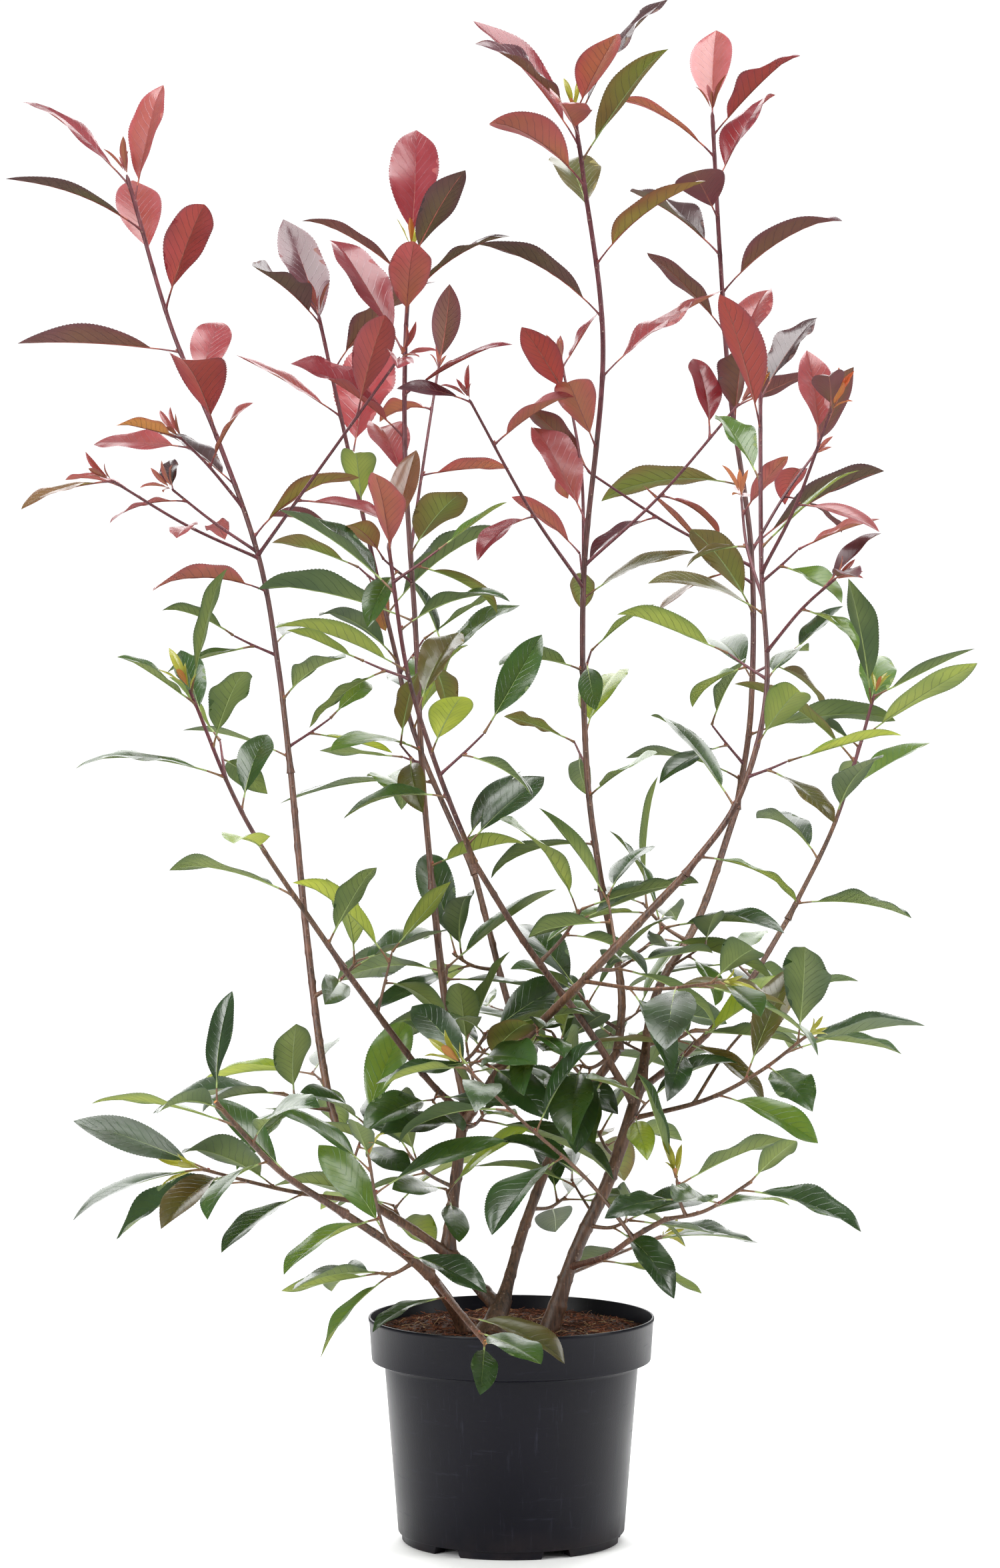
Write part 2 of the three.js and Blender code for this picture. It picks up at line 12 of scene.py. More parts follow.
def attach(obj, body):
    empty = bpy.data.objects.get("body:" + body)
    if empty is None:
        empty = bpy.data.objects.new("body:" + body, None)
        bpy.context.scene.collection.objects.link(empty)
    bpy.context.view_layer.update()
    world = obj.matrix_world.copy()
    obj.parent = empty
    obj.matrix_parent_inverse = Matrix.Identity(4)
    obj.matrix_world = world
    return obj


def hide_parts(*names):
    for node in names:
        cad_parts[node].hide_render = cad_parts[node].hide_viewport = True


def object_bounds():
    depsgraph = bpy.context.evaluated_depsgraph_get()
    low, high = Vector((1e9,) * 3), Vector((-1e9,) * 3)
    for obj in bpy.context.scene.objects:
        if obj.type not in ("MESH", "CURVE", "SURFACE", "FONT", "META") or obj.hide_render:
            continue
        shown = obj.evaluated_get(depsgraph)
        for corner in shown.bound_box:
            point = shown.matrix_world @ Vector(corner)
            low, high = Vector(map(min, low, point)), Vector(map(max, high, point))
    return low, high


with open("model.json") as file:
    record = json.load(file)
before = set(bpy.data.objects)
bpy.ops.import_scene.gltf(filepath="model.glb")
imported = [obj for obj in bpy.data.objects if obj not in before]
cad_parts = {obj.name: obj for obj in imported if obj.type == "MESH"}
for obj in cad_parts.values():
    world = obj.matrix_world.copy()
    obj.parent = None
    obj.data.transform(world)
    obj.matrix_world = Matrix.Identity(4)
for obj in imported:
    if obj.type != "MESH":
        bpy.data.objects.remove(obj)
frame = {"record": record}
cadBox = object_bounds()

# The shrub grows in millimetres, by the rule of the part's source, and is built in metres.
millimetre = 0.001
up = np.array((0.0, 0.0, 1.0))
front = np.array((0.0, -1.0, 0.0))
gap = 0.3

# Boughs: name, parent, the height where it leaves the parent (None is the parent's tip),
# the points it bends through, and the radius at its foot and tip.
boughRows = [
    ("root_crown", None, None, [(-18, -32, 195), (-13, -25, 208), (-7, -16, 222)], 11, 8.6),
    ("right_trunk", None, None, [(34, -35, 195), (57, -32, 265), (89, -20, 333), (118, 0, 418)],
     6.6, 5.4),
    ("front_trunk", None, None, [(-42, -35, 195), (-57, -55, 227), (-73, -78, 253)], 5.6, 4.7),
    ("left_sweep", "root_crown", 214, [(-31, -5, 233), (-58, 5, 265)], 6.2, 5.8),
    ("middle_bough", "root_crown", None, [(14, 10, 290), (49, 20, 374), (98, 40, 442)], 5, 4),
    ("centre_bough", "left_sweep", None, [(-52, 5, 315), (-42, 0, 398)], 5.6, 4.7),
    ("low_left_bough", "left_sweep", 252, [(-89, -10, 284), (-137, -20, 315)], 4.4, 3.8),
    ("left_stem", "low_left_bough", None, [(-167, 20, 405), (-187, 70, 532), (-204, 100, 694)],
     3.7, 2.9),
    ("centre_limb", "centre_bough", None, [(-59, 15, 481), (-72, 25, 591)], 3.8, 3.1),
    ("sweep_limb", "centre_bough", 376, [(-1, -60, 447), (69, -130, 526), (151, -160, 615)],
     4.2, 3.4),
    ("front_left_limb", "centre_bough", 388, [(-79, -40, 428), (-148, -120, 530)], 3.1, 2.7),
    ("back_left_limb", "middle_bough", 374, [(6, 80, 455), (-34, 150, 597)], 3.3, 2.8),
    ("tall_limb", "middle_bough", None, [(101, 60, 499), (84, 85, 585)], 3.9, 3.2),
    ("right_limb", "right_trunk", None, [(133, 40, 494), (174, 90, 561), (211, 140, 659)],
     4.3, 3.1),
    ("purple_limb", "right_trunk", 398, [(71, -30, 465), (11, -70, 550), (-33, -95, 622)],
     3.5, 2.6),
    ("outer_limb", "right_trunk", 408, [(175, 30, 454), (220, 60, 505), (256, 90, 559)], 3.2, 2.4),
    ("low_front_limb", "right_trunk", 253, [(85, -80, 270), (110, -110, 292), (135, -130, 309)],
     2.9, 2.2),
    ("fore_left_bough", "front_trunk", None, [(-105, -110, 283), (-146, -140, 315)], 4.3, 3.5),
]

# Shoots: mass, shoot, parent, height, points, radii, then its leaves: how many,
# where the first one sits along the shoot, blade length, heading of the first.
shootRows = [
    ("left_leader", "left_leader", "left_stem", None,
     [(-216, 110, 792), (-234, 115, 893), (-272, 125, 1002), (-317, 135, 1110), (-357, 130, 1249)],
     2.8, 1.9, 14, 0.03, 112, 250),
    ("left_leader", "spray_low", "left_leader", 893, [(-299, 90, 923), (-366, 50, 964)],
     1.6, 1.2, 3, 0.45, 84, 20),
    ("left_leader", "spray_mid", "left_leader", 899, [(-278, 150, 927), (-320, 190, 959)],
     1.6, 1.2, 3, 0.5, 70, 200),
    ("left_leader", "spray_high", "left_leader", 940, [(-279, 110, 977), (-305, 90, 1004)],
     1.6, 1.2, 3, 0.5, 86, 60),
    ("left_leader", "cross_shoot", "left_leader", 896, [(-184, 40, 961), (-99, -80, 1069)],
     1.8, 1.2, 3, 0.4, 88, 90),
    ("low_left_shoot", "low_left_shoot", "low_left_bough", 309,
     [(-202, -45, 324), (-277, -90, 349)], 2.4, 1.4, 6, 0.4, 116, 300),
    ("front_left_leader", "front_left_leader", "front_left_limb", None,
     [(-230, -170, 661), (-278, -200, 777)], 2.6, 1.4, 9, 0.08, 98, 80),
    ("back_left_leader", "back_left_leader", "back_left_limb", None,
     [(-89, 190, 722), (-110, 205, 806), (-143, 215, 946), (-182, 200, 1125)],
     2.7, 1.8, 13, 0.05, 110, 120),
    ("centre_leader", "centre_leader", "centre_limb", None,
     [(-81, 30, 696), (-87, 30, 824), (-96, 25, 969), (-96, 15, 1083), (-90, 0, 1170)],
     2.9, 1.9, 15, 0.04, 112, 60),
    ("centre_leader", "centre_side", "centre_leader", 897, [(-81, 70, 977), (-68, 130, 1068)],
     1.6, 1.2, 3, 0.45, 80, 90),
    ("purple_leader", "purple_leader", "purple_limb", None,
     [(-66, -115, 707), (-92, -130, 794), (-108, -140, 904)], 2.5, 1.7, 9, 0.06, 106, 110),
    ("tall_leader", "tall_leader", "tall_limb", None,
     [(70, 100, 700), (67, 95, 874), (84, 60, 1080), (66, 25, 1232), (56, 0, 1294)],
     3.1, 1.9, 18, 0.08, 110, 240),
    ("tall_leader", "tall_left_fork", "tall_leader", 866, [(16, 60, 939), (-38, -10, 1035)],
     1.8, 1.2, 3, 0.45, 80, 300),
    ("tall_leader", "tall_inner", "tall_leader", 878, [(65, 130, 978), (48, 170, 1076)],
     1.7, 1.2, 3, 0.5, 76, 200),
    ("tall_leader", "tall_right_fork", "tall_leader", 886, [(138, 110, 951), (212, 120, 1037)],
     1.6, 1.2, 3, 0.5, 80, 120),
    ("right_leader", "right_leader", "right_limb", None,
     [(226, 170, 754), (227, 190, 900), (207, 195, 1049), (197, 185, 1174), (188, 160, 1310)],
     3, 1.9, 16, 0.06, 112, 280),
    ("right_leader", "far_cross", "right_leader", 886, [(154, 190, 923), (72, 190, 976)],
     1.6, 1.2, 2, 0.6, 80, 300),
    ("right_leader", "right_side", "right_leader", 900, [(260, 230, 953), (292, 270, 995)],
     1.6, 1.2, 3, 0.5, 76, 60),
    ("sweep_leader", "sweep_leader", "sweep_limb", None,
     [(197, -165, 681), (222, -150, 773), (218, -140, 887), (218, -120, 1038)],
     3.1, 1.7, 9, 0.06, 104, 100),
    ("sweep_leader", "sweep_right", "sweep_leader", 809, [(250, -190, 846), (276, -230, 872)],
     1.6, 1.2, 3, 0.5, 72, 60),
    ("sweep_leader", "sweep_left", "sweep_leader", 854, [(207, -110, 901), (204, -70, 946)],
     1.6, 1.2, 3, 0.5, 66, 250),
    ("sweep_leader", "sweep_outer", "sweep_leader", 878, [(245, -190, 936), (272, -240, 1017)],
     1.7, 1.2, 3, 0.5, 78, 80),
    ("front_spray", "front_spray", "sweep_limb", 519, [(119, -200, 518), (178, -270, 530)],
     1.9, 1.3, 6, 0.35, 100, 90),
    ("outer_leader", "outer_leader", "outer_limb", None,
     [(297, 115, 637), (321, 125, 705), (339, 130, 767)], 2.4, 1.4, 9, 0.06, 114, 70),
    ("low_right_shoot", "low_right_shoot", "right_trunk", 384,
     [(174, -40, 405), (222, -70, 434), (262, -100, 469)], 2.4, 1.4, 6, 0.4, 100, 100),
    ("low_right_shoot", "low_right_twig", "low_right_shoot", 401, [(194, 20, 440), (230, 80, 473)],
     1.6, 1.3, 4, 0.5, 96, 200),
    ("low_front_shoot", "low_front_shoot", "low_front_limb", None,
     [(170, -160, 321), (207, -200, 351)], 1.9, 1.5, 4, 0.35, 90, 200),
    ("low_front_shoot", "low_front_tip", "low_front_shoot", 314,
     [(147, -152, 329), (144, -162, 350)], 1.6, 1.3, 3, 0.5, 84, 300),
    ("front_riser", "front_riser", "low_front_limb", 290,
     [(65, -160, 349), (12, -200, 401), (-42, -230, 455)], 1.9, 1.3, 7, 0.3, 98, 180),
    ("low_back_shoot", "low_back_shoot", "right_trunk", 246, [(91, 40, 252), (140, 110, 262)],
     1.7, 1.3, 4, 0.4, 98, 40),
    ("fore_left_shoot", "fore_left_shoot", "fore_left_bough", None,
     [(-195, -190, 354), (-223, -220, 386), (-254, -240, 425)], 3.3, 1.9, 6, 0.3, 108, 160),
    ("front_stub", "front_stub", "front_trunk", 244, [(-46, -120, 226), (-23, -165, 206)],
     3.2, 2.6, 4, 0.25, 90, 40),
    ("front_upright", "front_upright", "fore_left_bough", 268,
     [(-107, -140, 290), (-117, -170, 324), (-124, -190, 371)], 1.8, 1.3, 6, 0.12, 98, 40),
]

# Spurs: bough, lowest and highest spur, how many, heading of the first, leaves on each.
spurRows = [
    ("left_stem", 390, 490, 2, 290, 4),
    ("centre_bough", 320, 375, 2, 250, 4),
    ("centre_limb", 430, 500, 2, 40, 4),
    ("back_left_limb", 420, 510, 2, 150, 4),
    ("middle_bough", 300, 410, 2, 130, 4),
    ("tall_limb", 460, 520, 2, 300, 4),
    ("right_limb", 450, 540, 2, 100, 4),
    ("purple_limb", 440, 530, 2, 310, 4),
    ("sweep_limb", 440, 530, 2, 350, 4),
    ("fore_left_bough", 266, 266, 1, 270, 4),
    ("right_trunk", 290, 350, 2, 60, 4),
    ("low_left_bough", 286, 286, 1, 200, 4),
]
spur = {"length": 46, "rise": 23, "middleOut": 0.55, "middleUp": 0.35, "turnStep": 137.5,
        "footRadius": 1.9, "tipRadius": 1.3, "leafSize": 104, "firstLeaf": 0.55, "leafTurnStep": 60}

# Each kind of limb: its sides, and its rings from one point to the next.
limbForm = {
    "bough": (6, 3), "stem": (4, 2), "twig": (3, 1), "flareGrow": 0.55, "flareReach": 0.3,
    "tangentStep": 0.0001, "halvings": 30, "lengthSteps": 60,
}
leafForm = {
    "widthShare": 0.4, "petioleShare": 0.23, "petioleRadius": 0.9, "rootRadius": 0.5,
    "thickShare": 0.018, "thickAtFoot": 1.3, "thinning": 0.5, "stations": (0.28, 0.66), "fold": 24,
    "lowTilt": 62, "tipTilt": 34, "arch": 30, "skyPull": 3, "droopKept": 0.3, "riseKept": 0.2,
    "turnStep": 137.5, "youngest": 0.86, "youngFlatter": 0.6, "youngPower": 5, "tipShare": 0.985,
    "crowding": 1.5, "fullness": 3.603, "footPower": 0.95, "tipPower": 0.9,
}
spread = {"size": 0.18, "turn": 16, "tilt": 13, "arch": 18, "roll": 26}
hang = {"rimRadius": 130, "rimTop": 204, "above": 3, "beside": 6, "lowest": 150}
triesForRoom = (0, 28, -28, 56, -56, 90, -90)
seeds = {"first": 101, "step": 37, "multiplier": 16807, "modulus": 2147483647}


def unit(vector):
    return vector / np.linalg.norm(vector)


def headingAt(tangent, degrees):
    ahead = unit(front - tangent * (front @ tangent))
    beside = np.cross(tangent, ahead)
    turn = math.radians(degrees)
    return ahead * math.cos(turn) + beside * math.sin(turn)


def turnedAbout(vector, axis, angle):
    along = axis * (axis @ vector)
    return along + (vector - along) * math.cos(angle) + np.cross(axis, vector) * math.sin(angle)


class Limb:
    # A smooth line through points, with a radius that tapers, and a flare where it stands.
    def __init__(self, name, points, footRadius, tipRadius, kind, stands=False):
        self.name = name
        self.points = [np.array(point, float) for point in points]
        self.footRadius = footRadius
        self.tipRadius = tipRadius
        self.stands = stands
        self.stretches = len(points) - 1
        self.sides, rings = limbForm[kind]
        self.rings = rings * self.stretches
        first, second, beforeLast, last = *self.points[:2], *self.points[-2:]
        self.line = [2 * first - second, *self.points, 2 * last - beforeLast]

    def point(self, share):
        place = share * self.stretches
        stretch = min(int(place), self.stretches - 1)
        w = place - stretch
        a, b, c, d = self.line[stretch:stretch + 4]
        leave, arrive = (c - a) / 2, (d - b) / 2
        return (b + leave * w + (-3 * b + 3 * c - 2 * leave - arrive) * w ** 2
                + (2 * b - 2 * c + leave + arrive) * w ** 3)

    def tangent(self, share):
        step = limbForm["tangentStep"]
        return unit(self.point(min(1, share + step)) - self.point(max(0, share - step)))

    def radius(self, share):
        taper = self.footRadius + (self.tipRadius - self.footRadius) * share
        swell = limbForm["flareGrow"] * max(0, 1 - share / limbForm["flareReach"]) ** 2
        return taper * (1 + swell * self.stands)

    def placeAtHeight(self, height):
        if height is None:
            return 1
        low, high = 0.0, 1.0
        for _ in range(limbForm["halvings"]):
            middle = (low + high) / 2
            if self.point(middle)[2] < height:
                low = middle
            else:
                high = middle
        return (low + high) / 2

    def length(self):
        count = limbForm["lengthSteps"]
        steps = [self.point(i / count) for i in range(count + 1)]
        return sum(np.linalg.norm(b - a) for a, b in zip(steps, steps[1:]))


# A few flat faces stand for each limb and leaf while the rule looks for room.
def plainSolid(rings):
    triangles = []
    start = 0
    for ring, after in zip(rings, rings[1:]):
        count, following = len(ring), start + len(ring)
        for k in range(count):
            turn = (k + 1) % count
            if len(after) == 1:
                triangles.append((start + k, start + turn, following))
            else:
                triangles.append((start + k, start + turn, following + k))
                triangles.append((start + turn, following + turn, following + k))
        start = following
    triangles += [(0, k + 1, k) for k in range(1, len(rings[0]) - 1)]
    triangles += [(start, start + k, start + k + 1) for k in range(1, len(rings[-1]) - 1)]
    points = [tuple(point) for ring in rings for point in ring]
    return BVHTree.FromPolygons(points, triangles, all_triangles=True)


def boxOf(rings):
    points = np.array([point for ring in rings for point in ring])
    return points.min(0), points.max(0)


def limbRings(limb, grow):
    rings = []
    for i in range(limb.rings + 1):
        share = i / limb.rings
        tangent = up if limb.stands and i == 0 else limb.tangent(share)
        centre = limb.point(share)
        if i == 0:
            centre = centre - tangent * grow
        if i == limb.rings:
            centre = centre + tangent * grow
        reach = limb.radius(share) + grow
        rings.append([centre + headingAt(tangent, 360 * k / limb.sides) * reach
                      for k in range(limb.sides)])
    return rings


def outline(share):
    return (leafForm["fullness"] * share ** leafForm["footPower"]
            * (1 - share) ** leafForm["tipPower"])


def leafRings(leaf):
    size, arch = leaf["size"], leaf["arch"]
    side = np.cross(leaf["along"], leaf["top"])
    petiole = size * leafForm["petioleShare"]
    total = petiole + size

    def ringAt(distance, halfWidth, halfThick, fold):
        turned = arch * distance / total
        centre = (leaf["foot"] + leaf["along"] * (total * math.sin(turned) / arch)
                  - leaf["top"] * (total * (1 - math.cos(turned)) / arch))
        if halfWidth == 0:
            return [centre]
        normal = leaf["top"] * math.cos(turned) + leaf["along"] * math.sin(turned)
        out = side * (halfWidth * math.cos(math.radians(fold)))
        rise = normal * (halfWidth * math.sin(math.radians(fold)))
        return [centre + normal * halfThick, centre + out + rise,
                centre - normal * halfThick, centre - out + rise]

    halfThick = size * leafForm["thickShare"] / 2
    rings = [ringAt(0, leafForm["rootRadius"], leafForm["rootRadius"], 0)]
    for share in leafForm["stations"]:
        thick = halfThick * (leafForm["thickAtFoot"] - leafForm["thinning"] * share)
        halfWidth = size * leafForm["widthShare"] / 2 * outline(share)
        rings.append(ringAt(petiole + size * share, halfWidth, thick, leafForm["fold"]))
    rings.append(ringAt(total, 0, 0, 0))
    bladeFoot = ringAt(petiole, leafForm["petioleRadius"], halfThick, 0)
    return rings, [bladeFoot, *rings[1:]]


taken = []


def take(mass, whole, blade):
    taken.append({"mass": mass, "box": boxOf(whole), "whole": plainSolid(whole),
                  "blade": plainSolid(blade)})


def boxesMeet(one, other):
    return bool(np.all(one[0] < other[1]) and np.all(other[0] < one[1]))


def clearOfPot(point):
    outside = math.hypot(point[0], point[1]) > hang["rimRadius"] + hang["beside"]
    return point[2] > hang["rimTop"] + hang["above"] or (outside and point[2] > hang["lowest"])


def hasRoom(mass, whole, blade):
    if not all(clearOfPot(point) for ring in whole for point in ring):
        return False
    box, solids = boxOf(whole), {"whole": plainSolid(whole), "blade": plainSolid(blade)}
    for other in taken:
        part = "blade" if other["mass"] == mass else "whole"
        if boxesMeet(box, other["box"]) and solids[part].overlap(other[part]):
            return False
    return True


limbs = {}


def pathFrom(parentName, height, points):
    if parentName is None:
        (x, y, z), *rest = points
        return [(x, y, z + gap), *rest]
    parent = limbs[parentName]
    return [parent.point(parent.placeAtHeight(height)), *points]


# A short twig that leaves its parent's middle line, heading outward and then up.
def sprig(name, foot, outward, form):
    middle = foot + outward * form["length"] * form["middleOut"]
    middle = middle + up * form["rise"] * form["middleUp"]
    tip = foot + outward * form["length"] + up * form["rise"]
    return Limb(name, [foot, middle, tip], form["footRadius"], form["tipRadius"], "twig")


boughLimbs = []
for name, parent, height, points, footRadius, tipRadius in boughRows:
    path = pathFrom(parent, height, points)
    limbs[name] = Limb(name, path, footRadius, tipRadius, "bough", parent is None)
    boughLimbs.append(limbs[name])

leafyShoots = []
for mass, name, parent, height, points, footRadius, tipRadius, *leafPlan in shootRows:
    path, kind = pathFrom(parent, height, points), "stem" if mass == name else "twig"
    limbs[name] = Limb(name, path, footRadius, tipRadius, kind)
    leafyShoots.append((mass, limbs[name], leafPlan))

for bough, lowest, highest, count, firstTurn, leafCount in spurRows:
    parent = limbs[bough]
    for i in range(count):
        place = parent.placeAtHeight(lowest + (highest - lowest) * i / max(1, count - 1))
        outward = headingAt(parent.tangent(place), firstTurn + i * spur["turnStep"])
        limb = sprig(f"{bough}_spur_{i + 1}", parent.point(place), outward, spur)
        leafTurn = firstTurn + spur["leafTurnStep"] * i
        plan = [leafCount, spur["firstLeaf"], spur["leafSize"], leafTurn]
        leafyShoots.append((limb.name, limb, plan))

for mass, limb, _ in leafyShoots:
    take(mass, limbRings(limb, gap), limbRings(limb, 0))
for limb in boughLimbs:
    take(limb.name, limbRings(limb, gap), limbRings(limb, gap))

leaves = []


def growLeaves(mass, limb, plan, seed):
    count, first, size, firstTurn = plan
    state = seed

    def vary(reach):
        nonlocal state
        state = state * seeds["multiplier"] % seeds["modulus"]
        return (2 * state / seeds["modulus"] - 1) * reach

    for i in range(count):
        share = 0 if count == 1 else i / (count - 1)
        place = first + (leafForm["tipShare"] - first) * (1 - (1 - share) ** leafForm["crowding"])
        young = share ** leafForm["youngPower"]
        length = size * (1 - (1 - leafForm["youngest"]) * young) * (1 + vary(spread["size"]))
        turn = firstTurn + i * leafForm["turnStep"] + vary(spread["turn"])
        tilt = math.radians(leafForm["lowTilt"]
                            + (leafForm["tipTilt"] - leafForm["lowTilt"]) * share
                            + vary(spread["tilt"]))
        arch = math.radians(leafForm["arch"] * (1 - leafForm["youngFlatter"] * young)
                            + vary(spread["arch"]))
        roll = math.radians(vary(spread["roll"]))
        foot, tangent = limb.point(place), limb.tangent(place)
        riseKept = leafForm["riseKept"] + (1 - leafForm["riseKept"]) * max(0, tangent[2])
        for extra in triesForRoom:
            outward = headingAt(tangent, turn + extra)
            along = tangent * math.cos(tilt) + outward * math.sin(tilt)
            along = unit(along * (1, 1, leafForm["droopKept"] if along[2] < 0 else riseKept))
            stemSide = tangent * math.sin(tilt) - outward * math.cos(tilt)
            skySide = up - along * (up @ along)
            top = stemSide + skySide * leafForm["skyPull"]
            top = turnedAbout(unit(top - along * (top @ along)), along, roll)
            leaf = {"mass": mass, "limb": limb, "place": place, "share": share, "foot": foot,
                    "along": along, "top": top, "size": length, "arch": arch, "outward": outward}
            whole, blade = leafRings(leaf)
            if hasRoom(mass, whole, blade):
                take(mass, whole, blade)
                leaf["tip"] = whole[-1][0]
                leaves.append(leaf)
                break


for row, (mass, limb, plan) in enumerate(leafyShoots):
    growLeaves(mass, limb, plan, seeds["first"] + seeds["step"] * row)
print(f"grown: {len(boughLimbs)} boughs, {len(leafyShoots)} shoots, {len(leaves)} leaves")

# Finer side twigs with a few smaller leaves, where there is room: on the leaders, and on the
# boughs below them. Each row: lowest and highest twig, the step between them, leaves on each, and
# their length.
sideTwigRows = {"leader": (700, 880, 85, 2, 84), "bough": (300, 560, 75, 3, 88)}
sideTwig = {
    "length": 42, "rise": 24, "middleOut": 0.55, "middleUp": 0.525, "footRadius": 1.4,
    "tipRadius": 0.9, "turnStep": 137.5, "firstTurn": 70, "firstLeaf": 0.45, "firstSeed": 4001,
}
sideTwigs = []


def growSideTwig(mass, parent, place, turn, seed, leafCount, leafSize):
    outward = headingAt(parent.tangent(place), turn)
    limb = sprig(f"{parent.name}_twig_{seed}", parent.point(place), outward, sideTwig)
    twigSolid = limbRings(limb, gap)
    if not hasRoom(mass, twigSolid, twigSolid[1:]):
        return
    before = len(leaves)
    growLeaves(mass, limb, [leafCount, sideTwig["firstLeaf"], leafSize, turn], seed)
    if len(leaves) > before:
        take(mass, twigSolid, limbRings(limb, 0))
        sideTwigs.append(limb)


seed = sideTwig["firstSeed"]
bearers = [("leader", mass, limb) for mass, limb, _ in leafyShoots
           if limb.name.endswith("leader")]
bearers += [("bough", limb.name, limb) for limb in boughLimbs]
for kind, mass, parent in bearers:
    lowest, highest, step, leafCount, leafSize = sideTwigRows[kind]
    start = max(lowest, parent.points[0][2] + sideTwig["rise"])
    end = min(highest, parent.points[-1][2] - sideTwig["rise"])
    for i in range(math.floor((end - start) / step) + 1):
        turn = sideTwig["firstTurn"] + sideTwig["turnStep"] * i + seed
        place = parent.placeAtHeight(start + i * step)
        growSideTwig(mass, parent, place, turn, seed, leafCount, leafSize)
        seed += seeds["step"]
print(f"finer growth: {len(sideTwigs)} side twigs, {len(leaves)} leaves in all")


class Wire:
    # A socket that takes part in sums: each operator adds a Math node.
    def __init__(self, graph, socket):
        self.graph = graph
        self.socket = socket

    def maths(self, operation, *others):
        return self.graph.maths(operation, self, *others)

    def clamped(self):
        return self.maths("MAXIMUM", 0.0).maths("MINIMUM", 1.0)

    def peaks(self, width):
        # 1 where the value passes a whole number, falling to 0 over the width.
        return (1 - self.maths("PINGPONG", 0.5) / width).clamped()


# Each operator, and its reflected form for a number on the left.
def overload(sign, operation):
    setattr(Wire, f"__{sign}__", lambda wire, other: wire.maths(operation, other))
    setattr(Wire, f"__r{sign}__", lambda wire, other: wire.graph.maths(operation, other, wire))


for sign, operation in {"add": "ADD", "sub": "SUBTRACT", "mul": "MULTIPLY", "truediv": "DIVIDE",
                        "pow": "POWER"}.items():
    overload(sign, operation)


def paint(code):
    # A colour from its usual six digits.
    shares = [int(code[i:i + 2], 16) / 255 for i in (1, 3, 5)]
    return (*[s / 12.92 if s <= 0.04045 else ((s + 0.055) / 1.055) ** 2.4 for s in shares], 1.0)


class Graph:
    # The nodes of a material or a world. Its patterns lie on the object's own coordinates.
    def __init__(self, name, kind="materials"):
        self.owner = getattr(bpy.data, kind).new(name)
        self.owner.use_nodes = True
        self.tree = self.owner.node_tree
        self.tree.nodes.clear()
        self.place = self.node("ShaderNodeTexCoord", output="Object")

    def node(self, kind, settings=None, values=None, output=0):
        made = self.tree.nodes.new(kind)
        for setting, value in (settings or {}).items():
            setattr(made, setting, value)
        for socket, value in (values or {}).items():
            if isinstance(value, Wire):
                self.tree.links.new(value.socket, made.inputs[socket])
            else:
                plain = paint(value) if isinstance(value, str) else value
                made.inputs[socket].default_value = plain
        return Wire(self, made.outputs[output])

    def maths(self, operation, *values):
        return self.node("ShaderNodeMath", {"operation": operation}, dict(enumerate(values)))

    def stretched(self, scale):
        return self.node("ShaderNodeMapping", {}, {"Vector": self.place, "Scale": scale})

    def noise(self, scale, detail=3.0, roughness=0.55, place=None):
        values = {"Scale": scale, "Detail": detail, "Roughness": roughness}
        return self.node("ShaderNodeTexNoise", {}, {"Vector": place or self.place, **values})

    def cells(self, feature, scale):
        values = {"Vector": self.place, "Scale": scale}
        return self.node("ShaderNodeTexVoronoi", {"feature": feature}, values)

    def part(self, vector, axis):
        return self.node("ShaderNodeSeparateXYZ", {}, {"Vector": vector}, axis)

    def mixed(self, factor, one, other):
        return self.node("ShaderNodeMix", {"data_type": "RGBA"}, {0: factor, 6: one, 7: other}, 2)

    def bump(self, height, distance, strength):
        values = {"Height": height, "Distance": distance, "Strength": strength}
        return self.node("ShaderNodeBump", {}, values)

    def blend(self, factor, one, other):
        return self.node("ShaderNodeMixShader", {}, {0: factor, 1: one, 2: other}, "Shader")

    def glow(self, colour):
        return self.node("ShaderNodeBsdfTranslucent", {}, {"Color": colour}, "BSDF")

    def surface(self, values, through=None, throughShare=0.0):
        shader = self.node("ShaderNodeBsdfPrincipled", {}, values, "BSDF")
        return self.finish(self.blend(throughShare, shader, through) if through else shader)

    def finish(self, shader, kind="ShaderNodeOutputMaterial"):
        output = self.tree.nodes.new(kind)
        self.tree.links.new(shader.socket, output.inputs["Surface"])
        return self.owner


# Materials that are one grain between two colours: the grain's scale, detail and roughness, its
# contrast, how much of it is dark, the least roughness, the depth and strength of the relief,
# and the shine.
grainForms = {
    "rib": (160.0, 3.0, 0.55, 1.8, 0.4, 0.34, 0.0003, 0.5, 0.45),
    "cut": (900.0, 4.0, 0.55, 1.0, 0.0, 0.6, 0.0004, 0.6, 0.5),
    "peat": (300.0, 5.0, 0.65, 2.0, 0.5, 0.75, 0.0015, 0.8, 0.25),
    "fibre": (500.0, 5.0, 0.65, 2.0, 0.5, 0.75, 0.0015, 0.8, 0.25),
}


def grainMaterial(name, kind, dark, light):
    scale, detail, fine, contrast, darkShare, roughness, depth, strength, shine = grainForms[kind]
    g = Graph(name)
    grain = g.noise(scale, detail, fine)
    return g.surface({
        "Base Color": g.mixed((grain * contrast - darkShare).clamped(), dark, light),
        "Roughness": grain * 0.2 + roughness, "Normal": g.bump(grain, depth, strength),
        "Specular IOR Level": shine})


